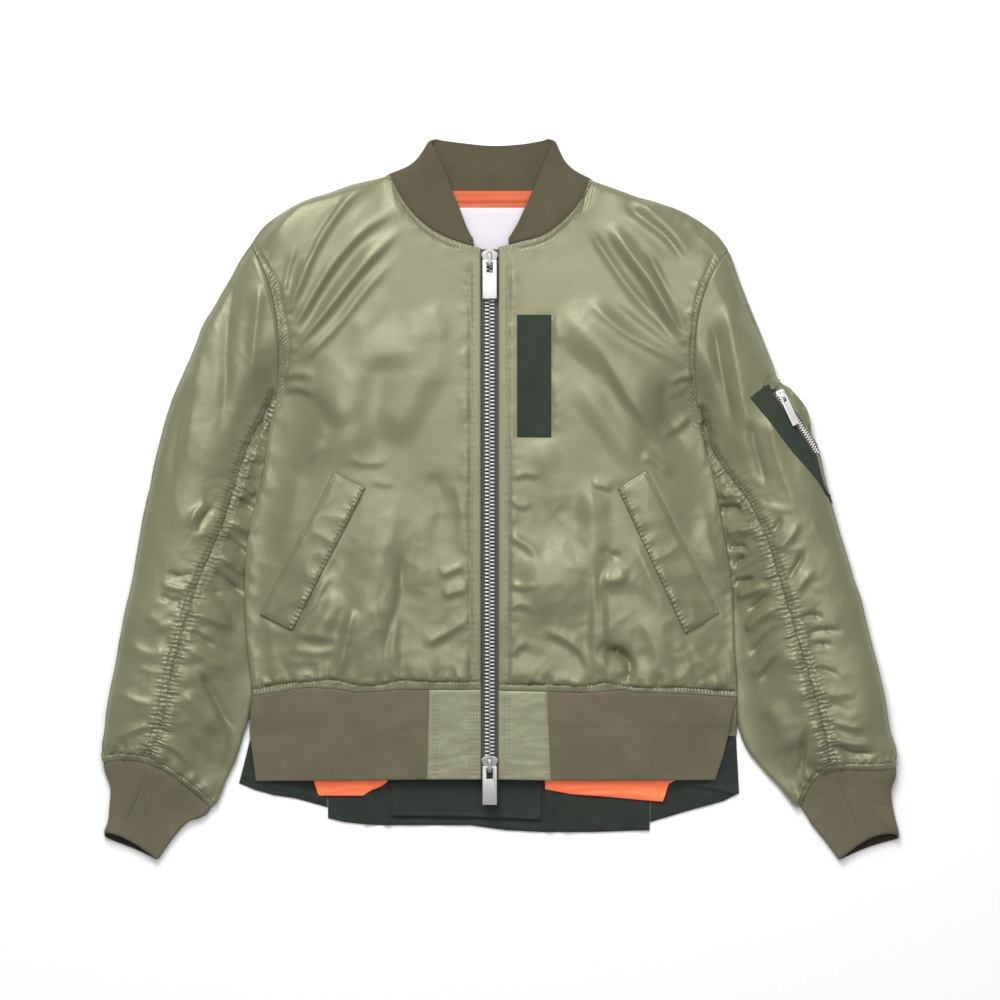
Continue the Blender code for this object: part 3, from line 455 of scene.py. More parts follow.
def lumps(x, y, size, seed):
    """Soft lumps of about one size, from -1 to 1, the same on every run."""
    turns = np.random.default_rng(seed).uniform(0, 2 * np.pi, (64, 64))
    gx, gy = np.asarray(x) / size + 31.4, np.asarray(y) / size + 27.1
    ix, iy = np.floor(gx).astype(int), np.floor(gy).astype(int)
    fx, fy = gx - ix, gy - iy

    def corner(dx, dy):
        turn = turns[(ix + dx) % 64, (iy + dy) % 64]
        return np.cos(turn) * (fx - dx) + np.sin(turn) * (fy - dy)

    sx, sy = ease(fx), ease(fy)
    low = corner(0, 0) * (1 - sx) + corner(1, 0) * sx
    high = corner(0, 1) * (1 - sx) + corner(1, 1) * sx
    return 1.5 * (low * (1 - sy) + high * sy)


def creased(x, y, size, seed, turn=0.0, stretch=1.0):
    """Sharp little ridges between soft hollows, longer along one direction."""
    c, s = math.cos(math.radians(turn)), math.sin(math.radians(turn))
    along, across = (c * x + s * y) / stretch, c * y - s * x
    warp = 0.35 * size * lumps(x, y, 1.7 * size, seed + 7)
    return 0.6 - 1.6 * np.abs(lumps(along + warp, across - warp, size, seed))


# Folds of each front: path, half width, height and, where there is one, the dip beside it
FRONT_FOLDS = {"right": (
    ((-211, 182, -200, 215, -177, 263, -153, 294, -116, 320), 4.5, 4.2, 0.7),
    ((-210, 162, -186, 204, -162, 240, -136, 268, -92, 294), 4.5, 4.4, 0.7),
    ((-207, 148, -167, 195, -136, 233, -90, 278), 4, 3.6, 0.7),
    ((-204, 132, -162, 174, -128, 216, -96, 248), 4, 2.2, 0.7),
    ((-197, 232, -176, 274, -150, 304), 3.5, -2.2),
    ((-217, 200, -210, 232, -200, 260), 3, 2, 0.5),
    ((-216, 124, -200, 126, -182, 122), 3, 2.6, 0.8),
    ((-216, 112, -198, 112, -182, 104), 3.2, 2.4, 0.8),
    ((-98, -46, -101, -96, -114, -150, -111, -184), 5, -3.2),
    ((-88, 0, -90, -80, -98, -190), 16, -1.8),
    ((-144, -106, -150, -122, -155, -146, -162, -178), 4.6, 4.2, 0.3),
    ((-128, -100, -116, -140, -120, -184), 6, 2, 0.3),
    ((-205, -127, -188, -106, -174, -82, -160, -77), 4, 3, 0.7),
    ((-210, -130, -190, -134, -154, -140), 4, 2, 0.8),
    ((-212, -148, -188, -152, -156, -148), 4, 2.2, 0.8),
    ((-216, -164, -194, -160, -170, -164), 3.5, 1.8, 0.8),
    ((-152, 42, -132, 36, -108, 40), 3, 1.3, 0.5),
    ((-128, 20, -116, 16, -102, 17), 2.6, 1.1, 0.5),
    ((-61, -77, -48, -70, -30, -64), 3, 2.2, 0.8),
    ((-58, -96, -45, -92, -30, -88), 3, 2.2, 0.8),
    ((-78, -145, -52, -132, -28, -116), 3.5, 2.4, 0.8),
    ((-70, 200, -60, 160, -64, 110), 12, 1.6, 0.2),
    ((-200, 30, -208, -20, -224, -60), 9, 1.8, 0.3),
    ((-225, -100, -228, -140, -224, -176), 7, 1.6, 0.4),
    ((-70, 30, -58, 0, -64, -40), 9, -1.6),
    ((-45, 20, -38, -20, -42, -50), 5, 1.5, 0.4),
), "left": (
    ((99, 275, 118, 245, 140, 216, 166, 171, 189, 139), 3.5, -1.6),
    ((108, 278, 130, 246, 152, 214, 176, 174, 190, 154), 5, 3.2, 0.4),
    ((123, 296, 145, 278, 166, 262, 187, 232), 4, -3),
    ((134, 300, 160, 278, 180, 256, 194, 238), 5, 2.6, 0.4),
    ((146, 249, 167, 204, 187, 158), 3.5, -2.6),
    ((87, 274, 106, 244, 125, 216, 148, 188, 171, 163), 4, -2.6),
    ((85, 200, 123, 168, 155, 150, 187, 134), 5.5, 2.6, 0.6),
    ((168, 116, 180, 122, 192, 123), 1.8, 1.3, 0.9),
    ((164, 104, 178, 108, 190, 115), 2, 1.4, 0.9),
    ((160, 64, 176, 72, 192, 88), 3.6, 2, 0.9),
    ((30, 170, 45, 140, 60, 110), 9, -1.6),
    ((160, 120, 168, 80, 190, 48), 9, -2.2),
    ((140, 45, 155, 38, 172, 22), 5, 2, 0.5),
    ((94, -60, 94, -120, 92, -184), 4.5, 2.2, 0.6),
    ((41, -129, 60, -136, 83, -154, 88, -180), 3.5, 2.4, 0.9),
    ((8, -83, 22, -87, 38, -84), 2.4, 1.8, 0.9),
    ((8, -36, 24, -44, 40, -58), 3, 2, 0.9),
    ((6, -110, 20, -104, 34, -108), 3, 1.8, 0.9),
    ((8, -156, 18, -146, 30, -140), 3.4, 1.8, 0.8),
    ((90, 16, 102, 14, 114, 10), 2.6, 2, 0.9),
    ((104, -150, 118, -151, 129, -163, 124, -188), 3.8, -8),
    ((100, -76, 114, -80, 130, -72), 7, 3.6, 0.4),
    ((100, -48, 112, -56, 122, -52), 4, -2.6),
    ((100, 148, 122, 110, 150, 68, 172, 34), 3.6, 1.7, 0.8),
    ((12, 22, 26, 26, 42, 22), 2.6, 1.3, 0.8),
    ((8, 2, 20, -6, 34, -4), 2.6, 1.4, 0.8),
    ((100, -140, 116, -154, 134, -150), 9, -2.4),
    ((140, -120, 156, -150, 152, -180), 7, 2, 0.5),
    ((190, -140, 200, -160, 220, -170), 5, 1.8, 0.6),
    ((200, 0, 208, -40, 224, -90), 8, 1.8, 0.4),
    ((172, -140, 184, -156, 190, -182), 5, 1.8, 0.7),
)}
# Flat slants, darker than the cloth round them: path, half width, height and how far beyond
# its high edge each dies away
FRONT_FACETS = {"right": (
    ((-162, 134, -116, 136, -56, 140), 10, 4, 46),
    ((-136, 22, -133, 85, -134, 156), 12.5, 4.5, 42),
    ((-102, 48, -80, 88, -54, 142), 12.5, 4.5, 40),
    ((-96, 156, -72, 160, -44, 162), 6, 1.3, 30),
    ((-146, 158, -124, 178, -100, 200), 6, 1.5, 30),
    ((-184, 32, -176, 54, -164, 74), 5, 1.8, 22),
    ((-170, -150, -166, -120, -154, -90), 8, 3, 20),
    ((-200, 118, -180, 100, -156, 68), 7, 3.4, 26),
    ((-200, 24, -186, 40, -170, 58), 5, 1.8, 18),
    ((-100, -192, -102, -140, -98, -60), 4, 2.4, 14),
    ((-126, -198, -112, -120, -90, 10), 15, 7, 44),
    ((-216, 170, -194, 220, -170, 286), 4, 1.6, 16),
    ((-202, 170, -174, 232, -116, 300), 8, 3.2, 14),
    ((-184, 156, -154, 206, -102, 270), 7, 2.4, 14),
    ((-222, 224, -188, 268, -104, 304), 22, 8, 14),
    ((-80, -100, -72, -60, -70, -10), 8, 2, 24),
    ((-194, -140, -170, -126, -150, -100), 6, 2.2, 16),
), "left": (
    ((90, 274, 131, 228, 164, 178, 190, 140), 6.5, 4, 16),
    ((134, 242, 160, 200, 190, 152), 3.6, 2.2, 9),
    ((118, 288, 150, 260, 180, 230), 7, 2.6, 14),
    ((104, 204, 155, 165, 190, 138), 3.4, 2, 16),
    ((44, 178, 80, 152, 112, 118, 148, 50), 13, 8.5, 46),
    ((66, 116, 94, 80, 134, 20), 9, 3.4, 26),
    ((104, -80, 103, -30, 100, 24), 10, 4.6, 20),
    ((14, -114, 60, -108, 112, -84), 25, 8.5, 60),
    ((106, -190, 106, -140, 105, -86), 2.8, 2.8, 16),
    ((8, 26, 40, 30, 70, 48), 10, 1.4, 26),
    ((144, 0, 140, -60, 164, -110), 7, 2, 22),
    ((20, 60, 40, 30, 52, -20), 8, 2.2, 24),
    ((190, -20, 204, -60, 222, -100), 6, 1.8, 16),
)}
# The stitched allowance inside the armhole, from the shoulder to the underarm: x, y
ARMHOLE_STITCH = {
    "right": ((-245, 254), (-233, 235), (-221, 213), (-217, 194), (-212, 168), (-210, 146), (-216, 116)),
    "left": ((213, 243), (207, 230), (201, 217), (194, 190), (192, 168), (190, 142), (194, 108)),
}
ZIP_STITCH_X = {"right": -29.5, "left": 8.5}
# Top of the hem seam's flat allowance: x, y
HEM_STITCH = {
    "right": (
        (-248, -189), (-209, -182), (-191, -181), (-166, -179), (-144, -184), (-119, -184), (-101, -180),
        (-66, -181), (-19, -181),
    ),
    "left": ((-2, -184), (55, -184), (87, -185), (105, -182), (128, -186), (176, -187), (237, -191)),
}
WELT = {
    "right": ((-165, 28), (-134, 12), (-207, -130), (-240, -114)),
    "left": ((117, 12), (146, 30), (219, -113), (185, -134)),
}


# How far the hem seam wanders from its straight line: x, shift in y
HEM_WAVE = (
    (-250, -6), (-236, -4), (-221, -2), (-205, 1.5), (-191, 3), (-166, 2), (-144, -2), (-119, -1),
    (-101, 1), (-19, 1), (-2, 0), (51, -1), (94, -2), (123, 1), (134, -2), (176, -3), (236, -7),
)
HEM_WAVE_REACH = 26.0


def hem_waved(plan):
    """Places near the hem seam moved with it, on both sides of it."""
    plan = plan.copy()
    shift = np.interp(plan[..., 0], *zip(*HEM_WAVE))
    plan[..., 1] += shift * (1 - ease(np.abs(plan[..., 1] - HEM_SEAM_Y) / HEM_WAVE_REACH))
    return plan


def inside_gap(corners, x, y):
    """How far outside a four-sided outline each place is, below 0 inside it."""
    loop = np.array([*corners, corners[0]], float)
    gap = off_line(loop, x, y)[0]
    sides = [(b[0] - a[0]) * (y - a[1]) - (b[1] - a[1]) * (x - a[0]) for a, b in zip(loop[:-1], loop[1:])]
    inside = np.all([np.sign(sides[0]) * part > 0 for part in sides], axis=0)
    return np.where(inside, -gap, gap)


def neck_row(side):
    return [(x, y - 7.0) for x, y in NECK[side][1:-1]]


def front_relief(side, x, y):
    """Folds, dents, gathers and stitched lines of one front, over places in plan."""
    seed = 11 if side == "right" else 23
    lower = ease((40 - y) / 120)
    calm = 1 - 0.3 * ease((y - 60) / 70)
    relief = calm * (2.0 * lumps(x, y, 78, seed) + (0.7 + 0.3 * lower) * lumps(x, y, 38, seed + 1))
    relief += calm * (0.7 + 0.7 * lower) * creased(x, y, 46, seed + 2, 62 if side == "right" else -55, 1.8)
    relief += (0.15 + 0.75 * lower) * creased(x, y, 22, seed + 3, 10, 1.3)
    relief += (0.05 + 0.14 * lower) * creased(x, y, 7.5, seed + 4)
    for slant in FRONT_FACETS[side]:
        facet(relief, x, y, *slant)
    for path, width, height, *lee in FRONT_FOLDS[side]:
        crease(relief, x, y, path, width, (1.2 if side == "right" else 1.35) * height, *lee)
    turn, armhole, hem = TURN[side], ARMHOLE_STITCH[side], HEM_STITCH[side]
    gathers(relief, x, y, armhole, turn, 6.5, 15, 1.1, seed + 5)
    gathers(relief, x, y, armhole, -turn, 5.0, 8, 0.7, seed + 6)
    neck = neck_row(side)
    gathers(relief, x, y, neck, -turn, 17.0, 26, 0.8, seed + 7)
    gathers(relief, x, y, SHOULDER[side], -1, 9.0, 16, 0.8, seed + 8)
    tip = SHOULDER[side][-1]
    relief *= 0.2 + 0.8 * ease((np.hypot(x - tip[0], y - tip[1]) - 3) / 18)
    from_hem, _, above = off_line(line_through(hem), x, y)
    above_hem = from_hem * above
    relief += 2.3 * rounded(above_hem / 6) * (1 - ease((above_hem - 10) / 30)) * (above_hem > 0)
    gathers(relief, x, y, hem, 1, 13.0, 24, 1.8, seed + 9, width=0.4)
    gathers(relief, x, y, hem, 1, 15.0, 15, -2.6, seed + 10, width=0.15)
    zip_line = [(ZIP_STITCH_X[side], y) for y in (236, 20, -186)]
    gathers(relief, x, y, zip_line, -turn, 10.0, 15, 1.1, seed + 11)
    gathers(relief, x, y, SIDE[side], turn, 11.0, 16, 1.0, seed + 12)
    relief *= 0.25 + 0.75 * ease((np.abs(x - ZIP_EDGE[side]) - 6) / 10)
    from_welt = inside_gap(WELT[side], x, y)
    relief *= 0.2 + 0.8 * ease((from_welt - 1.5) / 7)
    relief -= 0.7 * (1 - ease((from_welt + 1) / 3))
    if side == "left":
        from_ribbon = inside_gap(CHEST_RIBBON, x, y)
        relief *= 0.25 + 0.75 * ease((from_ribbon - 1) / 6)
        relief -= 0.4 * (1 - ease((from_ribbon + 1) / 3))
        gathers(relief, x, y, [(52, 182), (52, 124), (52, 64)], 1, 12.0, 18, 1.1, seed + 20)
    stitched(relief, x, y, armhole, 0.9, 5.0, seed + 13)
    stitched(relief, x, y, zip_line, 0.8, 6.0, seed + 14)
    relief -= 1.3 * hump(above_hem, 0.9)
    stitched(relief, x, y, neck, 1.1, 4.6, seed + 16, 1.0, 2.4)
    return relief


def front_puckers(side, points):
    """Where a front is finely puckered along its sewn edges: along its side, then across it."""
    x, y = points[..., 0], points[..., 1]
    seed = 31 if side == "right" else 37
    armhole = body_edge(side, np.linspace(UNDERARM_SHARE, 1, 60))
    band = hump(off_line(armhole, x, y)[0], 8.5, 4) * (0.7 + 0.5 * lumps(x, y, 14, seed))
    from_hem, _, above = off_line(line_through(HEM_STITCH[side]), x, y)
    flange = np.where(above < 0, 1.0, hump(from_hem, 5.0))
    flange = flange * (0.75 + 0.5 * lumps(x, y, 12, seed + 1))
    neck = 0.45 * hump(off_line(line_through(NECK[side]), x, y)[0], 8.5, 4)
    return {"ruche": band, "pucker": np.maximum(flange, neck)}


CHEST_RIBBON = ((17, 184.5), (51, 184.5), (51, 62.5), (17, 62.5))


def add_primitive(kind, **sizes):
    """A primitive with nothing else selected."""
    bpy.ops.object.select_all(action="DESELECT")
    getattr(bpy.ops.mesh, f"primitive_{kind}_add")(**sizes)
    return bpy.context.object


def finished(thing, kind, **settings):
    """A modifier of one kind, set and applied."""
    step = thing.modifiers.new(kind, kind)
    for name, value in settings.items():
        setattr(step, name, value)
    bpy.context.view_layer.objects.active = thing
    bpy.ops.object.modifier_apply(modifier=kind)


def smoothed(thing, angle):
    bpy.context.view_layer.objects.active = thing
    thing.select_set(True)
    bpy.ops.object.shade_smooth_by_angle(angle=math.radians(angle))


ALL_RIMS = ("first_row", "last_row", "first_col", "last_col")


def cloth_sheet(name, points, finish, relief=0.0, wall=SHELL_WALL, rims=(), roll=0.9, marks=None):
    """A grid primitive drawn to the outer face of a middle surface and walled inwards. Then its
    outer face is raised by the relief and rolled over at its sewn rims. Marks are kept as the
    piece's own attributes, for its finish to read: values over the outer face, or inside it."""
    rows, cols = points.shape[:2]
    normal = outward(points)
    face = points + wall / 2 * normal
    sheet = add_primitive("grid", x_subdivisions=cols - 1, y_subdivisions=rows - 1, size=2)
    sheet.name = sheet.data.name = name
    mesh = sheet.data
    mesh.vertices.foreach_set("co", (face * MM).astype(np.float32).ravel())
    u, v = (part * MM for part in walked_grid(face))
    cut = np.stack([u - u[:, cols // 2, None] + u[0, cols // 2], v.mean(axis=1)[:, None] + 0 * u], axis=2)
    corner = np.empty(len(mesh.loops), np.int32)
    mesh.loops.foreach_get("vertex_index", corner)
    mesh.uv_layers[0].name = "cut"
    mesh.uv_layers[0].data.foreach_set("uv", cut.reshape(-1, 2)[corner].astype(np.float32).ravel())
    mesh.materials.append(finish)
    finished(sheet, "SOLIDIFY", thickness=wall * MM, offset=-1.0, use_even_offset=False)
    lift = relief + np.zeros((rows, cols))
    if rims:
        gaps = rim_gap(points)
        near = np.min([gaps[rim] for rim in rims], axis=0)
        lift = lift - roll * (1 - rounded((near - SEAM_HALF_GAP) / 2.4))
    places = np.empty(len(mesh.vertices) * 3, np.float32)
    mesh.vertices.foreach_get("co", places)
    places = places.reshape(-1, 3)
    count = rows * cols
    places[:count] = ((face + lift[..., None] * normal) * MM).reshape(-1, 3)
    pressed = np.minimum(lift + 0.45 * wall, 0)
    places[count:2 * count] += (pressed[..., None] * normal * MM).reshape(-1, 3)
    places[:, 2] = np.maximum(places[:, 2], 0)
    mesh.vertices.foreach_set("co", places.ravel())
    mesh.update()
    for mark, value in (marks or {}).items():
        values = np.zeros(len(mesh.vertices), np.float32)
        if mark == "inside":
            values[count:2 * count] = value
        else:
            values[:count] = value.ravel()
        mesh.attributes.new(mark, "FLOAT", "POINT").data.foreach_set("value", values)
    smoothed(sheet, 74)
    return sheet


def sewn_in(piece, node):
    """The piece rides on the jacket in its solid's place."""
    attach(piece, "jacket")
    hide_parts(node)


def fed(node, inputs):
    """Each named input of a shader node gets its value, or is joined to another node's output."""
    for name, value in inputs.items():
        if isinstance(value, bpy.types.NodeSocket):
            node.id_data.links.new(value, node.inputs[name])
        else:
            node.inputs[name].default_value = value


def new_finish(name):
    """A material, its shader, and a way to add nodes, each given back as one of its outputs."""
    material = bpy.data.materials.new(name)
    material.use_nodes = True
    tree = material.node_tree

    def add(kind, inputs=None, output=0, **settings):
        node = tree.nodes.new("ShaderNode" + kind)
        for setting, value in settings.items():
            setattr(node, setting, value)
        fed(node, inputs or {})
        return node.outputs[output]

    return material, tree.nodes["Principled BSDF"], add


def toned(add, amount, colour, deep, pale, start=0.0, end=1.0):
    """A colour that runs from deep to pale shares of itself with an amount."""
    tone = add("ValToRGB", {"Fac": amount})
    for stop, place, share in zip(tone.node.color_ramp.elements, (start, end), (deep, pale)):
        stop.position, stop.color = place, (*np.multiply(colour, share), 1)
    return tone


SAGE_TINTS = ((0.86, 0.90, 0.62), (0.80, 0.83, 0.62))


def satin_nylon(name, colour, roughness=0.38, shine=0.9, tints=SAGE_TINTS):
    """Satin-faced nylon: fine twill in the cut's own directions, soft crinkles, a broad shine."""
    material, shader, add = new_finish(name)
    place, cut = add("TexCoord", output="Object"), add("UVMap", uv_map="cut")

    def noise(size, detail, rough=0.5):
        return add("TexNoise", {"Scale": 1 / size, "Detail": detail, "Roughness": rough, "Vector": place})

    fibre = {"To Min": roughness - 0.05, "To Max": roughness + 0.08, "Value": noise(0.004, 2)}
    twill = {"Scale": 900, "Distortion": 1.2, "Detail Scale": 2, "Vector": cut}
    twill = add("TexWave", twill, "Fac", bands_direction="DIAGONAL")
    last = add("Bump", {"Strength": 0.25, "Distance": 0.00005, "Height": twill})
    crinkle = noise(0.009, 4, 0.55)
    last = add("Bump", {"Strength": 0.16, "Distance": 0.0012, "Height": crinkle, "Normal": last})
    for mark, direction, period in (("ruche", "Y", 0.0046), ("pucker", "X", 0.0034)):
        where = add("Attribute", output="Fac", attribute_name=mark)
        small = {"Scale": 0.314159 / period, "Distortion": 3.2, "Detail": 2, "Detail Scale": 2.2}
        small = add("TexWave", {**small, "Vector": cut}, "Fac", bands_direction=direction)
        kept = add("Math", {0: where, 1: small}, operation="MULTIPLY")
        last = add("Bump", {"Strength": 1.0, "Distance": 0.17 * period, "Height": kept, "Normal": last})
    fed(shader, {
        "Base Color": toned(add, noise(0.07, 3), colour, 0.94, 1.06, 0.32, 0.70), "Normal": last,
        "Roughness": add("MapRange", fibre), "Specular IOR Level": shine, "Specular Tint": (*tints[0], 1),
        "Sheen Weight": 0.12, "Sheen Roughness": 0.35, "Sheen Tint": (*tints[1], 1)})
    return material


SAGE = (0.158, 0.157, 0.0925)
shell_nylon = satin_nylon("shell_nylon", SAGE)
fronts = {}
for side in SIDES:
    up, across = sewn_shares(448, 2.35, 14, 1.0), sewn_shares(235, 2.3, 10, 1.3)
    corner, zip_x = SIDE[side][-1], ZIP_EDGE[side]
    bottom = np.stack([corner[0] + across * (zip_x - corner[0]), np.full(len(across), HEM_SEAM_Y)], axis=1)
    shoulder_part = curve(SHOULDER[side], 1 - across / NECK_SHARE)
    neck_part = curve(NECK[side], (across - NECK_SHARE) / (1 - NECK_SHARE))
    top = np.where((across <= NECK_SHARE)[:, None], shoulder_part, neck_part)
    zip_top = NECK[side][-1][1]
    zip_side = np.stack([np.full(len(up), zip_x), HEM_SEAM_Y + up * (zip_top - HEM_SEAM_Y)], axis=1)
    plan = blended(bottom, zip_side, top, body_edge(side, up), across, up)
    plan = hem_waved(plan)
    points = np.dstack([plan, body_height(plan[..., 0], plan[..., 1])])
    points = met(points, "first_col", edge_heights(side, up), 60)
    from_tip = np.linalg.norm(plan[-1] - plan[-1, 0], axis=1)
    flared = SIDE_FRONT_Z + (OPEN_FRONT_Z - SIDE_FRONT_Z) * (1 - ease(from_tip / UNDERARM_DROP))
    wanted = np.where(across <= NECK_SHARE, flared, points[-1, :, 2])
    points = met(points, "last_row", wanted, 25)
    by_tip = 1 - ease((np.linalg.norm(points[..., :2] - points[-1, 0, :2], axis=2) - 16) / 20)
    points = evened(points, by_tip, 70)
    if side == "left":
        points = points[:, ::-1]
    relief = front_relief(side, points[..., 0], points[..., 1])
    gaps = rim_gap(points)
    near = np.min(list(gaps.values()), axis=0)
    relief *= 0.45 + 0.55 * ease(near / 7)
    from_shoulder_tip = np.linalg.norm(points[..., :2] - SHOULDER[side][-1], axis=2)
    relief *= ease(np.maximum(gaps["last_row"] / 6, from_shoulder_tip / 30))
    fronts[side] = cloth_sheet(f"front_panel_{side}", points, shell_nylon, relief, rims=ALL_RIMS,
                               marks=front_puckers(side, points))
    sewn_in(fronts[side], f"front_{side}")


def looked_down_on(*things):
    """A tree of the finished meshes, for finding their height under a place in plan."""
    corners, faces = [], []
    for thing in things:
        start = len(corners)
        corners += [tuple(v.co) for v in thing.data.vertices]
        faces += [tuple(start + k for k in face.vertices) for face in thing.data.polygons]
    return BVHTree.FromPolygons(corners, faces)


front_faces = looked_down_on(fronts["right"], fronts["left"])


ABOVE_ALL, WITHOUT_CLOTH = 200.0, 20.0


def surface_at(tree, x, y):
    """Point and normal of the top of the cloth under a place, in millimetres."""
    spot, normal, _, _ = tree.ray_cast((x * MM, y * MM, ABOVE_ALL * MM), (0, 0, -1))
    if spot is None:
        return np.array((x, y, WITHOUT_CLOTH)), np.array((0.0, 0.0, 1.0))
    return np.array(spot) / MM, np.array(normal)


# The back: one wide panel that lies flat under the fronts, its edges lifting to the side and
# shoulder seams. It is cut from the same satin, and runs a little lower than the hem seam.

BACK_HEM_END = {"right": (-249.5, -235), "left": (236.5, -235)}
BACK_NECK = ((-110, 325), (-80, 310.5), (-47, 306.2), (-8, 305.2), (31, 305.7), (60, 309), (89, 319))
NECK_FROM, HEM_SHARE = 0.33, 0.09


def back_side(side, v):
    """The back's side edge: up from the hem, then as the front's under edge."""
    corner, end = np.array(SIDE[side][-1], float), np.array(BACK_HEM_END[side], float)
    low = end + (v / HEM_SHARE)[:, None] * (corner - end)
    high = body_edge(side, np.clip((v - HEM_SHARE) / (1 - HEM_SHARE), 0, 1), False)
    return np.where((v < HEM_SHARE)[:, None], low, high)


up, across = rim_shares(66, (0.004, 0.01)), rim_shares(62, (0.003, 0.008))
ends = [np.array(BACK_HEM_END[side], float) for side in SIDES]
bottom = ends[0] + across[:, None] * (ends[1] - ends[0])
top = curve(BACK_NECK, np.clip((across - NECK_FROM) / (1 - 2 * NECK_FROM), 0, 1))
right_part, left_part = across <= NECK_FROM, across >= 1 - NECK_FROM
top[right_part] = curve(SHOULDER["right"], 1 - across[right_part] / NECK_FROM)
top[left_part] = curve(SHOULDER["left"], 1 - (1 - across[left_part]) / NECK_FROM)
plan = blended(bottom, back_side("left", up), top, back_side("right", up), across, up)
x, y = plan[..., 0], plan[..., 1]
body_up = np.clip((up - HEM_SHARE) / (1 - HEM_SHARE), 0, 1)
lifts = []
for side, edge in (("right", plan[:, :1]), ("left", plan[:, -1:])):
    heights = edge_heights(side, body_up, False)
    below = TABLE_Z + (SIDE_BACK_Z - TABLE_Z) * ease(2 * up / HEM_SHARE)
    heights = np.where(up < HEM_SHARE, below, heights)
    gone = np.linalg.norm(plan - edge, axis=2)
    lifts.append(fall(gone, heights[:, None], BACK_HOLD, BACK_FALL))
for side in SIDES:
    line = SHOULDER_LINE[side]
    tip_gone = np.linalg.norm(plan[-1] - line[-1], axis=1)
    neck_gone = np.linalg.norm(plan[-1] - line[0], axis=1)
    seam_z = SIDE_BACK_Z + (OPEN_BACK_Z - SIDE_BACK_Z) * (1 - ease(tip_gone / UNDERARM_DROP))
    over = right_part if side == "right" else left_part
    seam_z = np.where(over, seam_z, TABLE_Z + (seam_z - TABLE_Z) * (1 - ease(neck_gone / 25)))
    lifts.append(fall(off_line(line, x, y)[0], seam_z[None, :], BACK_HOLD, BACK_FALL))
points = np.dstack([plan, np.max(lifts, axis=0)])
back = cloth_sheet("back_panel", points, shell_nylon, rims=("first_col", "last_col", "last_row"))
sewn_in(back, "back")


# The sleeves, each cut as a wide upper piece and a narrower under piece. They are joined by a seam
# down the face and one on the underside; the face seam is ruched on an elastic thread, so that
# small pillows of cloth stand along it and longer folds run off it to both sides.

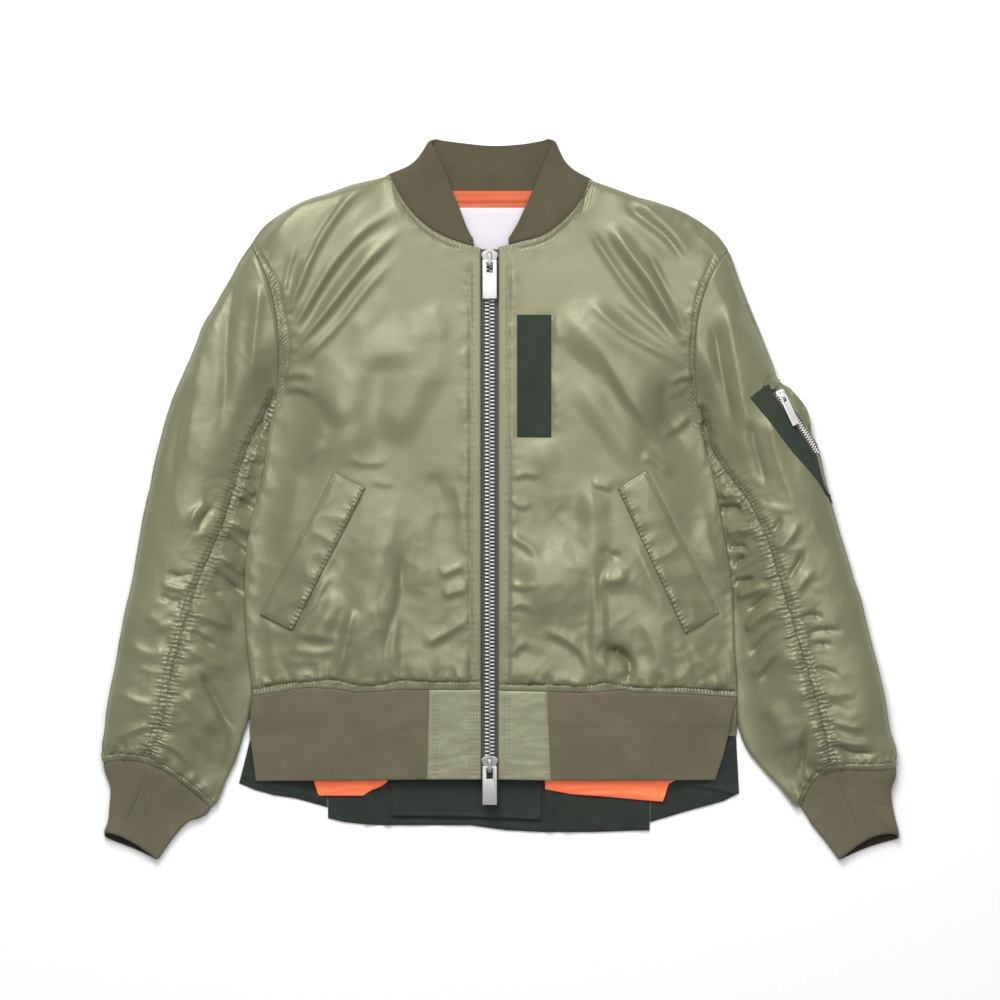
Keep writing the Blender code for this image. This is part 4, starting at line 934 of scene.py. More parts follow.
# Folds of each sleeve: path, half width, height and, where there is one, the dip beside it
SLEEVE_FOLDS = {"right": (
    ((-260, 238, -272, 170, -274, 100, -284, 50), 9, -3),
    ((-238, 220, -244, 170, -250, 110), 6, 2.4, 0.4),
    ((-284, 200, -296, 150, -308, 80, -314, 20), 9, 2, 0.3),
    ((-304, 120, -322, 60, -328, 0), 9, -2),
    ((-264, 3, -255, -3, -245, -8), 3, -3.6),
    ((-265, 16, -254, 10, -242, 4), 3.2, 2.4, 0.4),
    ((-277, -33, -264, -45, -250, -54), 3.5, -3.8),
    ((-274, -17, -260, -28, -248, -36), 3.6, 2.6, 0.4),
    ((-288, -70, -272, -82, -253, -97), 3.5, -3.8),
    ((-284, -56, -268, -66, -253, -78), 4, 2.6, 0.4),
    ((-297, -90, -288, -92, -278, -94), 2.6, -2.4),
    ((-310, -130, -298, -138, -284, -148), 3.2, -3.4),
    ((-304, -112, -288, -120, -264, -128), 4.5, 2.4, 0.4),
    ((-314, -146, -296, -158, -268, -172), 5.5, 2.2, 0.4),
    ((-300, -170, -292, -182, -285, -196, -274, -220, -264, -235), 4, -4),
    ((-316, -190, -300, -210, -284, -236), 8, 2.6, 0.3),
    ((-330, -208, -312, -234, -294, -268), 9, -1.8),
    ((-294, -200, -278, -236, -278, -270), 6, 2.2, 0.3),
    ((-286, -5, -295, -18, -304, -34), 3.5, -2.2),
    ((-292, 0, -304, -12, -310, -30), 4, 1.8, 0.3),
    ((-316, -102, -328, -100, -341, -94), 3, -2.2),
    ((-304, -74, -318, -76, -335, -71), 3, -2.2),
    ((-308, -88, -322, -88, -340, -82), 3.2, 1.8, 0.2),
    ((-322, -124, -338, -122, -356, -112), 4.4, 1, 0.4),
    ((-328, -150, -350, -152, -374, -140), 5, 1.1, 0.4),
    ((-332, -172, -350, -170, -364, -164), 3.4, 0.8, 0.4),
    ((-342, -204, -362, -200, -384, -188), 5, 1, 0.4),
    ((-348, -222, -364, -228, -384, -238), 4, 1.5, 0.5),
    ((-342, -238, -324, -248, -304, -270), 4, 1.6, 0.5),
), "left": (
    ((212, 180, 222, 120, 235, 60), 7, -3.2),
    ((224, 200, 238, 120, 250, 60), 9, 2.4, 0.3),
    ((248, 80, 257, 40, 266, 8), 6, -2.8),
    ((265, 90, 280, 30, 300, -20), 9, 2, 0.3),
    ((240, 200, 260, 150, 272, 110), 12, -1.8),
    ((218, -9, 230, -7, 245, -8), 3.4, -4.2),
    ((222, 4, 234, 6, 248, 4), 3.4, 2.4, 0.4),
    ((228, -48, 238, -46, 252, -49), 3, -3.4),
    ((226, -34, 240, -28, 256, -30), 4, 2.6, 0.4),
    ((233, -66, 240, -60, 246, -54), 2.8, -2.8),
    ((232, -83, 244, -80, 257, -79), 3, -3.4),
    ((236, -98, 252, -92, 270, -84), 4, 2.2, 0.4),
    ((248, -111, 260, -102, 274, -89), 3.4, -3.2),
    ((246, -132, 262, -118, 282, -104), 5, 2.4, 0.4),
    ((249, -156, 264, -140, 284, -121), 3.6, -3.2),
    ((252, -178, 270, -160, 290, -148), 5, 2, 0.4),
    ((260, -182, 272, -164, 286, -145), 3, -2.2),
    ((266, -200, 280, -220, 292, -260), 9, 2.2, 0.3),
    ((306, -222, 303, -244, 300, -278), 3, -3.4),
    ((268, -39, 275, -28, 281, -15), 2.8, -2.8),
    ((276, -52, 290, -36, 300, -20), 4.5, 2, 0.4),
    ((283, -85, 294, -68, 305, -48), 3, -2.8),
    ((286, -100, 300, -84, 316, -66), 4.5, 2, 0.4),
    ((298, -118, 310, -115, 324, -116), 2.8, -2.4),
    ((301, -135, 320, -130, 344, -131), 3, -2.4),
    ((304, -147, 318, -144, 333, -144), 2.8, -2),
    ((306, -166, 324, -170, 342, -176), 3, -2.2),
    ((312, -190, 332, -194, 356, -194), 4, 1.6, 0.5),
    ((320, -216, 342, -224, 370, -228), 4.5, 1.8, 0.5),
    ((326, -242, 350, -252, 380, -252), 3.6, -3),
    ((320, -235, 345, -242, 376, -243), 4, 2, 0.4),
    ((276, 113, 278, 111, 296, 87, 311, 65, 319, 51), 1.3, -2.6),
    ((278, 118, 281, 114, 299, 90, 313, 67, 318, 58), 2.4, 3),
)}


SEAM_POINTS = 70


def face_seam(side, first=0.0, last=float(CUFF_ROW)):
    """The ruched seam down the sleeve's face, in plan."""
    sections = [arm_section(side, s) for s in np.linspace(first, last, SEAM_POINTS)]
    return np.array([arm_plan(section, section["front"]) for section in sections])


def cuff_seam(side):
    section = arm_section(side, float(CUFF_ROW))
    return arm_plan(section, np.linspace(0, section["width"], 40))


def sleeve_relief(side, x, y):
    """Folds, ruched pillows and gathers of a sleeve's face, over places in plan."""
    seed = 41 if side == "right" else 59
    turn = TURN[side]
    relief = 2.0 * lumps(x, y, 60, seed) + 0.9 * lumps(x, y, 30, seed + 1)
    relief += 1.3 * creased(x, y, 40, seed + 2, 100 - 12 * turn, 2.2)
    relief += 0.3 * creased(x, y, 17, seed + 3)
    relief += 0.1 * creased(x, y, 7.5, seed + 4)
    seam = face_seam(side, 0.6)
    gap, share, way = off_line(seam, x, y)
    by_body = turn * way > 0
    relief += 2.4 * np.sin(np.pi * np.clip(gap / 48, 0, 1)) * by_body * ease((y + 200) / 60)
    body_side = ease((gap - 4) / 7) * ease((70 - gap) / 30) * by_body * (0.5 + 0.5 * ease((y + 140) / 90))
    relief -= 2.6 * body_side * creased(x, y, 17, seed + 3, -34 * turn, 3.0)
    other_side = ease((gap - 5) / 7) * ease((42 - gap) / 22) * (turn * way < 0) * ease((60 - y) / 60)
    relief -= 1.0 * other_side * creased(x, y, 12, seed + 4, 8 * turn, 2.6)
    for path, width, height, *lee in SLEEVE_FOLDS[side]:
        crease(relief, x, y, path, 0.85 * width, 1.6 * height, *lee)
    along = share * line_length(seam)
    sway = 1.6 * lumps(along, way * 40.0, 13, seed + 5)
    pillow = np.abs(np.sin(np.pi * (along + sway * 2.2 + 2.4 * way) / 8.4)) ** 0.9
    tall = (1.9 + 1.1 * lumps(along, way * 90.0, 17, seed + 6)) * np.where(by_body, 1.0, 0.6)
    inner = hump(gap, 5.4, 5)
    band = hump(gap - 6.0, 6.5 + 2.5 * lumps(along, 7 * way, 24, seed + 7), 2.2)
    relief *= 1 - 0.7 * np.maximum(inner, 0.6 * band)
    relief += 0.5 - 0.5 * inner + tall * band * (1 - inner) * (pillow - 0.35)
    relief -= 0.35 * hump(gap, 0.9) + 0.7 * hump(gap - 5.2, 0.9)
    gathers(relief, x, y, seam, turn, 12.0, 30, 2.4, seed + 8)
    gathers(relief, x, y, seam, -turn, 13.0, 24, 1.4, seed + 9)
    cuff = cuff_seam(side)
    gathers(relief, x, y, cuff, turn, 10.0, 28, 2.2, seed + 10)
    flange = cuff + (0, 7.0)
    from_flange, _, above = off_line(flange, x, y)
    relief += 1.6 * rounded(from_flange / 6) * (1 - ease((from_flange - 8) / 24)) * (turn * above > 0)
    relief -= 1.1 * hump(from_flange, 0.9)
    gathers(relief, x, y, flange, turn, 11.0, 12, -2.0, seed + 11, width=0.16)
    head = body_edge(side, np.linspace(UNDERARM_SHARE, 1, 40))
    gathers(relief, x, y, head, -turn, 9.0, 16, 1.0, seed + 12)
    return relief


def sleeve_puckers(side, x, y):
    """Where a sleeve is finely puckered: the ladder along its face seam, and by the cuff."""
    seed = 43 if side == "right" else 61
    gap = off_line(face_seam(side, 0.6), x, y)[0]
    ladder = hump(gap, 6.6, 6) + 0.5 * hump(gap - 8, 4) * (1 + lumps(x, y, 9, seed))
    from_cuff = off_line(cuff_seam(side), x, y)[0]
    flange = hump(from_cuff, 7.6, 6) * (0.8 + 0.4 * lumps(x, y, 12, seed + 1))
    return {"ruche": ladder * (1 - np.clip(flange, 0, 1)), "pucker": flange}


# Where points lie inside a sleeve's fold, from its hold to its edge
FOLD_STOPS = np.array((1.25, 0.33, 0.06))


def eased_stops(section, piece):
    """Where the points of one piece of a section lie, from its face seam round to its back seam."""
    width, hold, fold = section["width"], ARM_UNDER_HOLD, FOLD_STOPS
    counts, edge = (52, 22), 0.0
    if piece == "under":
        counts, edge, hold, fold = (30, 14), width, width - hold, width - fold
    over = [*np.linspace(section["front"], hold, counts[0]), *fold, edge]
    below = [*fold[::-1], *np.linspace(hold, section["back"], counts[1])]
    return [(e, True) for e in over] + [(e, False) for e in below]


sleeves = {}
for side in SIDES:
    for piece in ("upper", "under"):
        sections = [arm_section(side, s) for s in CUFF_ROW * sewn_shares(480, 1.85, 14, 1.1)]
        points = [arm_ring(section, eased_stops(section, piece)) for section in sections]
        points = np.array(points)[::-1]
        normal = outward(points)
        turned = normal[10, 2, 2] < 0
        if turned:
            points = points[:, ::-1]
            normal = outward(points)
        plain = "first_col" if turned else "last_col"
        relief = sleeve_relief(side, points[..., 0], points[..., 1])
        relief *= ease((normal[..., 2] + 0.25) / 0.7)
        gaps = rim_gap(points)
        near = np.minimum(gaps["first_row"], gaps["last_row"])
        relief *= 0.5 + 0.5 * ease(near / 6)
        name = f"sleeve_{side}_{piece}"
        sleeve = cloth_sheet(f"{name}_piece", points, shell_nylon, relief,
                             rims=("first_row", "last_row", plain),
                             marks=sleeve_puckers(side, points[..., 0], points[..., 1]))
        sleeves[side, piece] = sleeve
        sewn_in(sleeve, name)


# The cuffs: tubes of rib knit joined in line with the sleeve's face seam, drawn in to the wrist.
# The front edge stops short of the back one, so that the mouth of the tube shows.

RIB_PITCH = 2.3
RIB_BROWN = (0.132, 0.118, 0.075)


def rib_knit(name, colour):
    """Dry rib knit: a fine two-way loop texture, hazy fibres and uneven dyeing. Its inner face, where a
    piece marks it inside, is painted at a quarter of its colour: painted shade.
    """
    material, shader, add = new_finish(name)
    place = add("TexCoord", output="Object")
    cloud = add("TexNoise", {"Scale": 28, "Detail": 5, "Roughness": 0.6, "Vector": place})
    tone = toned(add, cloud, colour, (0.88, 0.90, 0.90), (1.10, 1.08, 1.06), 0.30, 0.72)
    # Painted shade: faces marked inside take a quarter of the knit's colour, dark as the shade inside a
    # tube.
    inside = add("Attribute", output="Fac", attribute_name="inside")
    shaded = {"Factor": inside, "A": tone, "B": (*[0.25 * part for part in colour], 1)}
    loops = add("TexVoronoi", {"Scale": 1100, "Vector": add("UVMap", uv_map="cut")})
    loops = add("Bump", {"Strength": 0.5, "Distance": 0.0002, "Height": loops})
    fuzz = add("TexNoise", {"Scale": 1600, "Detail": 2, "Vector": place})
    fuzz = add("Bump", {"Strength": 0.3, "Distance": 0.0002, "Height": fuzz, "Normal": loops})
    fed(shader, {
        "Base Color": add("Mix", shaded, "Result", data_type="RGBA"), "Normal": fuzz, "Roughness": 0.92,
        "Specular IOR Level": 0.25, "Sheen Weight": 0.18, "Sheen Roughness": 0.5,
        "Sheen Tint": (0.75, 0.72, 0.58, 1)})
    return material


def evenly_round(points, count):
    """The same line of points, spaced evenly along it."""
    steps = walked(points)
    at = np.linspace(0, steps[-1], count)
    return np.stack([np.interp(at, steps, points[:, k]) for k in range(3)], axis=1)


def ribs(share, length, tall=0.16):
    """Height of rounded ribs across a knit, at shares of its whole width."""
    count = round(length / RIB_PITCH)
    return tall * (np.abs(np.cos(np.pi * count * share)) ** 0.8 - 0.5)


rib_brown = rib_knit("rib_knit", RIB_BROWN)
CUFF_FOLDS = {"right": (
    ((-349, -268, -357, -286, -363, -300, -373, -320, -379, -336), 1, -1.1),
    ((-360, -272, -369, -300, -384, -324), 5, 1.3, 0.4),
    ((-384, -290, -388, -306, -392, -322), 3, 1.6, 0.6),
    ((-340, -280, -348, -306, -360, -338), 4, -0.7),
), "left": (
    ((333, -271, 341, -290, 350, -311, 358, -327, 366, -341), 1, -1.1),
    ((376, -312, 388, -324, 399, -335), 3.2, 1.7, 0.7),
    ((372, -300, 384, -306, 394, -303), 3.2, -1.2),
    ((346, -286, 358, -312, 372, -332), 5, 0.9, 0.3),
)}
CUFF_COLUMNS, CUFF_LINES = 360, 26
# How far the front of each cuff stops short of its end and the back runs past it, where across
# the sleeve that is most, and how sharply
CUFF_MOUTH = {"right": (2.0, 4.5, 0.24), "left": (6.0, 2.5, 0.30)}
for side in SIDES:
    rings = []
    short, past, middle = CUFF_MOUTH[side]
    for s in np.linspace(CUFF_ROW, LAST_ROW, CUFF_LINES):
        section = arm_section(side, s)
        stops = eased_stops(section, "upper") + eased_stops(section, "under")[-2::-1]
        ring = arm_ring(section, stops)
        share = np.clip([e / section["width"] for e, _ in stops], 0, 1)
        drawn = np.sin(np.pi * share ** (math.log(0.5) / math.log(middle)))
        drawn = drawn * ((s - CUFF_ROW) / (LAST_ROW - CUFF_ROW)) ** 2
        shift = np.where([on_top for _, on_top in stops], short, -past) * drawn
        ring[:, :2] += shift[:, None] * section["up"]
        rings.append(evenly_round(ring, CUFF_COLUMNS))
    points = np.array(rings)[::-1]
    if outward(points)[5, 4, 2] < 0:
        points = points[:, ::-1]
    x, y = points[..., 0], points[..., 1]
    relief = 0.5 * lumps(x, y, 26, 71) + 0.25 * lumps(x, y, 11, 72)
    for fold in CUFF_FOLDS[side]:
        crease(relief, x, y, *fold)
    relief *= ease((outward(points)[..., 2] + 0.25) / 0.7)
    relief += ribs(np.linspace(0, 1, CUFF_COLUMNS), line_length(points[0]))[None, :]
    # The cuff's inner face is marked inside, so its finish paints it dark: painted shade in the cuff's
    # mouth.
    cuff = cloth_sheet(f"cuff_{side}_rib", points, rib_brown, relief, rims=("first_row", "last_row"),
                       marks={"inside": 1.0})
    sewn_in(cuff, f"cuff_{side}")


# The collar: a single band of rib knit, doubled over at its free edge, that stands from the neck
# seam. Laid down it folds sharply at two corners, and its front ends lean to the zip.

# From the wearer's right front round the back to the left front: the neck seam's point and height
# (None is level with the front), then the free edge's
COLLAR = (
    (-26, 254, None, -27, 260, 26),
    (-43, 259.5, None, -33, 272, 22),
    (-64, 268.5, None, -40, 290, 18),
    (-86, 287.5, None, -47, 307, 15),
    (-99, 305.5, None, -54, 326, 13),
    (-109.5, 322, 13, -66.5, 352, 12),
    (-111, 324, 9, -69.5, 358, 8.5),
    (-107, 321, 3, -66, 360, 5),
    (-80, 311.5, 1.3, -57, 359.3, 2.2),
    (-47, 307, 1.3, -40, 357, 1.3),
    (-8, 306, 1.3, -7, 354, 1.3),
    (31, 306.5, 1.3, 25, 356, 1.3),
    (60, 310, 1.3, 42, 359, 2.2),
    (86, 315.5, 3, 50, 360.3, 5),
    (90, 319.5, 9, 54, 358, 8.5),
    (88, 317, 13, 51.5, 352, 12),
    (79, 299.5, None, 44, 336, 13),
    (65, 282.5, None, 37, 318, 15),
    (41, 264.5, None, 28, 299, 18),
    (22, 259.5, None, 18, 277, 22),
    (8.5, 256, None, 9, 261, 26),
)
# Rows at its two folded corners, and how far its outline is drawn in between seam and edge there
COLLAR_CORNERS = ((6, (4.0, -4.6)), (14, (-4.6, -5.0)))
COLLAR_COLUMNS, COLLAR_LINES = 430, 28
RIB_WALL = 2.6
seams, edges = [], []
for seam_x, seam_y, seam_z, edge_x, edge_y, top_z in COLLAR:
    seam_z = float(body_height(seam_x, seam_y)) if seam_z is None else seam_z
    seams.append((seam_x, seam_y, seam_z))
    edges.append((edge_x, edge_y, top_z))
seams, edges = np.array(seams, float), np.array(edges, float)
middle = (seams + edges) / 2
length = line_length(middle)
stops = walked(middle) / length
around = np.linspace(0, 1, COLLAR_COLUMNS)
seam_line, edge_line = curve(seams, around, stops), curve(edges, around, stops)
up = np.concatenate([[-0.09, -0.04, 0.01], np.linspace(0.05, 0.95, COLLAR_LINES), [0.975, 0.99, 1.0]])
points = seam_line[None] + up[:, None, None] * (edge_line - seam_line)[None]
for row, drawn_in in COLLAR_CORNERS:
    near_corner = 1 - ease(np.abs(around - stops[row]) / 0.11)
    waist = np.sin(np.pi * np.clip(up, 0, 1)) ** 1.2
    points[..., :2] += waist[:, None, None] * near_corner[None, :, None] * np.array(drawn_in)
tucked = np.clip(0.05 - up, 0, 1) / 0.14
points[..., 2] = np.maximum(points[..., 2] - 3.2 * tucked[:, None], RIB_WALL / 2)
relief = ribs(around, length, 0.12)[None, :] * np.ones((len(up), 1))
relief += 0.5 * lumps(points[..., 0], points[..., 1], 30, 81) * ease(1 - np.abs(2 * up - 1))[:, None]
if outward(points)[5, 40, 2] < 0:
    points, relief = points[:, ::-1], relief[:, ::-1]
# The collar is the cuffs' and hem's rib knit painted to about 60 % of its colour: painted shade, as the
# collar faces the light.
collar_knit_shaded = rib_knit("collar_knit", (0.083, 0.072, 0.0425))
collar = cloth_sheet("collar_rib", points, collar_knit_shaded, relief, RIB_WALL, ("last_row",), 0.8)
sewn_in(collar, "collar")


# The front's hem band: rib knit at each side, and beside the zip a plain block of the shell satin
# with three rows of stitching. The band is doubled, and its inner fold shows as a faint line.

HEM_END_Y = -279.0


def hem_strip(left_edge, right_edge, columns, lines):
    """Middle points of a strip of the hem band between two edges, from its lower edge up."""
    down = rim_shares(lines, (0.008, 0.02))
    left, right = left_edge(down), right_edge(down)
    across = rim_shares(columns, (0.002, 0.005)) if columns < 200 else np.linspace(0, 1, columns)
    plan = left[:, None] + across[None, :, None] * (right - left)[:, None]
    plan = hem_waved(plan[::-1])
    return np.dstack([plan, body_height(plan[..., 0], plan[..., 1])]), across


def straight(x_top, x_end, y_end=HEM_END_Y):
    top, end = np.array((x_top, HEM_SEAM_Y)), np.array((x_end, y_end))
    return lambda down: top + down[:, None] * (end - top)


def hem_side(side):
    return lambda down: curve(HEM_SIDE[side], down)[:, :2]


def block_row(x):
    return [(x, y) for y in (-192, -235, -277)]


block_edge = {"right": straight(-71, -73), "left": straight(47, 51, -280)}
rib_edges = {
    "right": (hem_side("right"), block_edge["right"]),
    "left": (block_edge["left"], hem_side("left")),
}
block_edges = {
    "right": (block_edge["right"], straight(ZIP_EDGE["right"], ZIP_EDGE["right"])),
    "left": (straight(ZIP_EDGE["left"], ZIP_EDGE["left"]), block_edge["left"]),
}
BAND_FOLD_Y = {"right": -226.0, "left": -227.5}
BLOCK_STITCHES = {"right": (-67.0, -64.0, -29.5, -26.5, -23.5), "left": (4.5, 8.0, 46.0)}
# The hem blocks are the shell satin painted about 35 to 50 % paler: painted sheen.
block_nylon_painted_paler = satin_nylon("shell_nylon_painted_paler", (0.214, 0.217, 0.139))
hem_pieces = {}
for side in SIDES:
    points, across = hem_strip(*rib_edges[side], 300, 30)
    x, y = points[..., 0], points[..., 1]
    relief = ribs(across, line_length(points[5]), 0.13)[None, :] * np.ones(x.shape)
    relief += 0.7 * lumps(x, y, 45, 91) + 0.25 * lumps(x, y, 16, 92)
    fold_gap = y - BAND_FOLD_Y[side] - 1.2 * lumps(x, 0 * x, 30, 93)
    relief += 0.35 * ease(fold_gap / 1.6 + 0.5) - 0.45 * hump(fold_gap, 1.1)
    gaps = rim_gap(points)
    relief *= 0.3 + 0.7 * ease(np.min(list(gaps.values()), axis=0) / 5)
    rib = cloth_sheet(f"hem_rib_{side}_band", points, rib_brown, relief, rims=ALL_RIMS)
    sewn_in(rib, f"hem_rib_{side}")
    points, across = hem_strip(*block_edges[side], 40, 60)
    x, y = points[..., 0], points[..., 1]
    relief = 0.4 * lumps(x, y, 24, 95) + 0.35 * creased(x, y, 12, 96, 8, 2.6)
    for row_x in BLOCK_STITCHES[side]:
        stitched(relief, x, y, block_row(row_x), 0.45, 4.0, 97, 0.9, 1.8)
    gathers(relief, x, y, block_row(np.mean(BLOCK_STITCHES[side])), 1, 9.0, 12, 0.5, 98)
    block = cloth_sheet(f"hem_block_{side}_panel", points, block_nylon_painted_paler, relief, rims=ALL_RIMS)
    sewn_in(block, f"hem_block_{side}")
    hem_pieces[side] = (rib, block)


# The zip tapes: dark herringbone tape sewn under each front's edge, its inner edge corded where
# the teeth are clamped.

TAPE_WALL, TAPE_DROP, TAPE_TUCK = 1.2, 2.2, 4.0
ZIP_TOP_Y = 250.0
TAPE_GREY = (0.060, 0.057, 0.052)


def zip_tape(name, colour):
    """Matt woven tape with a herringbone of fine diagonal ribs."""
    material, shader, add = new_finish(name)
    rib = {"Scale": 420, "Distortion": 0.6, "Vector": add("UVMap", uv_map="cut")}
    rib = add("TexWave", rib, "Fac", bands_direction="DIAGONAL")
    bump = add("Bump", {"Strength": 0.5, "Distance": 0.0002, "Height": rib})
    fed(shader, {
        "Base Color": toned(add, rib, colour, 0.7, 1.25), "Normal": bump, "Roughness": 0.85,
        "Sheen Weight": 0.1})
    return material


tape_grey = zip_tape("zip_tape", TAPE_GREY)
for side in SIDES:
    turn = TURN[side]
    y = np.linspace(HEM_END_Y, ZIP_TOP_Y, 190)
    x = np.linspace(*sorted((ZIP_EDGE[side] - turn * TAPE_TUCK, ZIP_X - turn * 0.15)), 9)
    from_middle = np.abs(x - ZIP_X)
    height = body_height(np.full(len(y), ZIP_X), y) - TAPE_DROP
    cord = 0.5 * hump(from_middle - 1.2, 0.8) - 0.25 * ease((from_middle - 6) / 2)
    points = np.stack(np.meshgrid(x, y), axis=2)
    points[..., 0] -= turn * 3.6 * ease((points[..., 1] - 238) / 12)
    z = height[:, None] + cord[None, :] + 0.12 * lumps(points[..., 0], points[..., 1], 9, 101)
    points = np.dstack([points, z])
    tape = cloth_sheet(f"zip_tape_{side}_strip", points, tape_grey, wall=TAPE_WALL)
    sewn_in(tape, f"zip_tape_{side}")


# The chain: nickelled teeth clamped on the tapes' corded edges, those of one side in the gaps of
# the other. One tooth is modelled and set down along both sides.

TOOTH_PITCH, TOOTH_LONG, TOOTH_WIDE, TOOTH_TALL = 3.7, 5.6, 2.3, 2.0


def bright_metal(name, grey, roughness=0.40):
    """Satin nickel under a thin clear lacquer, with faint brushing and handling marks."""
    material, shader, add = new_finish(name)
    brushed = add("Mapping", {"Scale": (2200, 90, 900), "Vector": add("TexCoord", output="Object")})
    lines = add("TexNoise", {"Scale": 1.0, "Detail": 3, "Vector": brushed})
    gloss = {"To Min": roughness - 0.06, "To Max": roughness + 0.12, "Value": lines}
    bump = add("Bump", {"Strength": 0.08, "Distance": 0.0001, "Height": lines})
    fed(shader, {
        "Base Color": (grey, 0.985 * grey, 0.96 * grey, 1), "Metallic": 0.6, "Normal": bump,
        "Roughness": add("MapRange", gloss)})
    return material


def block(size, place=(0, 0, 0)):
    """A box of a size, its middle at a place."""
    box = add_primitive("cube", size=1.0)
    box.data.transform(Matrix.Translation(place) @ Matrix.Diagonal((*size, 1)))
    return box


def bevelled(thing, width, segments=1, angle=40):
    finished(thing, "BEVEL", width=width, segments=segments, limit_method="ANGLE",
             angle_limit=math.radians(angle))


def fastened(thing, node, rides_on="jacket"):
    """A metal piece in its solid's place."""
    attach(thing, rides_on)
    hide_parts(node)


def placed(name, data):
    """A new object in the scene."""
    thing = bpy.data.objects.new(name, data)
    bpy.context.scene.collection.objects.link(thing)
    return thing


def set_down(name, pattern, places, finish):
    """Copies of one small shape joined into a piece, each at a place with its own three axes."""
    corners = np.array([tuple(v.co) for v in pattern.data.vertices])
    faces = [tuple(face.vertices) for face in pattern.data.polygons]
    all_corners, all_faces = [], []
    for k, (place, axes) in enumerate(places):
        all_corners.append(np.array(place) * MM + corners @ np.array(axes))
        all_faces += [tuple(v + k * len(corners) for v in face) for face in faces]
    mesh = bpy.data.meshes.new(name)
    mesh.from_pydata(np.concatenate(all_corners).tolist(), [], all_faces)
    mesh.shade_smooth()
    mesh.materials.append(finish)
    mesh.update()
    return placed(name, mesh)


def axes_along(along, normal):
    """Rows: along, across and out, for laying a small shape on a surface."""
    out = np.array(normal, float) / np.linalg.norm(normal)
    along = np.array(along, float) - np.dot(along, out) * out
    along /= np.linalg.norm(along)
    return np.array([along, np.cross(out, along), out])


zip_metal = bright_metal("zip_metal", 0.50)
tooth = block((TOOTH_LONG * MM, TOOTH_WIDE * MM, TOOTH_TALL * MM))
for corner in tooth.data.vertices:
    if corner.co.x > 0:
        corner.co.y *= 0.72
        corner.co.z *= 0.9
bevelled(tooth, 0.45 * MM)
ZIP_CHAIN_Y = (-262.0, 236.0)
CHAIN_Z, TOOTH_OUT = 0.30, 2.35
places = []
for turn in (-1, 1):
    start = ZIP_CHAIN_Y[0] + (TOOTH_PITCH / 2 if turn > 0 else 0)
    for y in np.arange(start, ZIP_CHAIN_Y[1], TOOTH_PITCH):
        z = float(body_height(ZIP_X, y)) + CHAIN_Z
        slope = float(body_height(ZIP_X, y + 2) - body_height(ZIP_X, y - 2)) / 4
        places.append(((ZIP_X + turn * TOOTH_OUT, y, z), axes_along((-turn, 0, 0), (0, -slope, 1))))
chain = set_down("zip_teeth", tooth, places, zip_metal)
fastened(chain, "zip_chain")


# The sliders: die-cast, with a top and a bottom plate round the chain, wings where the chain
# spreads and a bail over the top. Each carries a flat bar of a pull that swings in the bail.

# Half widths of a slider's plate from its tail to its wings: y, half width
PLATE = (
    (-4.6, 4.6), (-2.5, 5.6), (0.5, 6.0), (3.5, 7.4), (6.0, 8.4), (8.2, 8.2), (9.6, 6.6), (10.8, 4.4),
)


# How far a pull's bar is from its tab's end, at full size
BAR_IN = 1.25


def hinge_of(pull, k):
    """Where a pull's bar lies, in millimetres, and its axes across, along and out, from its solid."""
    corners = np.array([tuple(corner.co) for corner in bpy.data.objects[pull].data.vertices]) / MM
    corners = np.unique(corners.round(4), axis=0)
    along, _, out = np.linalg.svd(corners - corners.mean(axis=0), full_matrices=False)[2]
    along, out = along * np.sign(along[1]), out * np.sign(out[2])
    axes = np.array([np.cross(along, out), along, out])
    low, high = (corners @ axes.T).min(axis=0), (corners @ axes.T).max(axis=0)
    across, _, up = (low + high) / 2
    return np.array((across, high[1] - BAR_IN * k, up)) @ axes, axes


def in_hinge(thing, place, axes):
    """Places a shape made about a pull's hinge, in millimetres, where that hinge is."""
    turn = Matrix(axes.tolist()).transposed().to_4x4()
    thing.data.transform(Matrix.Translation(Vector(place) * MM) @ turn @ Matrix.Scale(MM, 4))
    thing.data.update()


def joined(name, parts):
    bpy.ops.object.select_all(action="DESELECT")
    for part in parts:
        part.select_set(True)
    bpy.context.view_layer.objects.active = parts[0]
    bpy.ops.object.join()
    parts[0].name = parts[0].data.name = name
    return parts[0]


def shaped_plate(k, z_low, z_high, scale_x=1.0):
    """A slider plate: a grid strip drawn to the outline, walled and bevelled."""
    last = len(PLATE) - 1
    plate = add_primitive("grid", x_subdivisions=4, y_subdivisions=last, size=2)
    for corner in plate.data.vertices:
        y, half = PLATE[round((corner.co.y + 1) / 2 * last)]
        corner.co = (corner.co.x * half * k * scale_x, y * k, z_high * k)
    finished(plate, "SOLIDIFY", thickness=(z_high - z_low) * k, offset=-1)
    bevelled(plate, 0.45 * k, 2, 50)
    return plate


# The bail's line over the plate: y, z
BAIL = (
    (9.0, -2.6), (8.9, -0.5), (8.2, 1.6), (6.0, 2.65), (1.5, 2.75), (-2.5, 2.65), (-4.5, 1.7), (-4.9, -0.5),
    (-5.0, -2.6),
)
BAIL_STEPS = 24


def bail_strap(k):
    strap = add_primitive("grid", x_subdivisions=2, y_subdivisions=BAIL_STEPS, size=2)
    line = curve(BAIL, np.linspace(0, 1, BAIL_STEPS + 1))
    for corner in strap.data.vertices:
        y, z = line[round((corner.co.y + 1) / 2 * BAIL_STEPS)]
        crown = 0.12 * k if abs(corner.co.x) < 0.1 else 0
        corner.co = (corner.co.x * 1.9 * k, y * k, z * k + crown)
    finished(strap, "SOLIDIFY", thickness=1.35 * k, offset=0)
    bevelled(strap, 0.4 * k, 2, 50)
    return strap


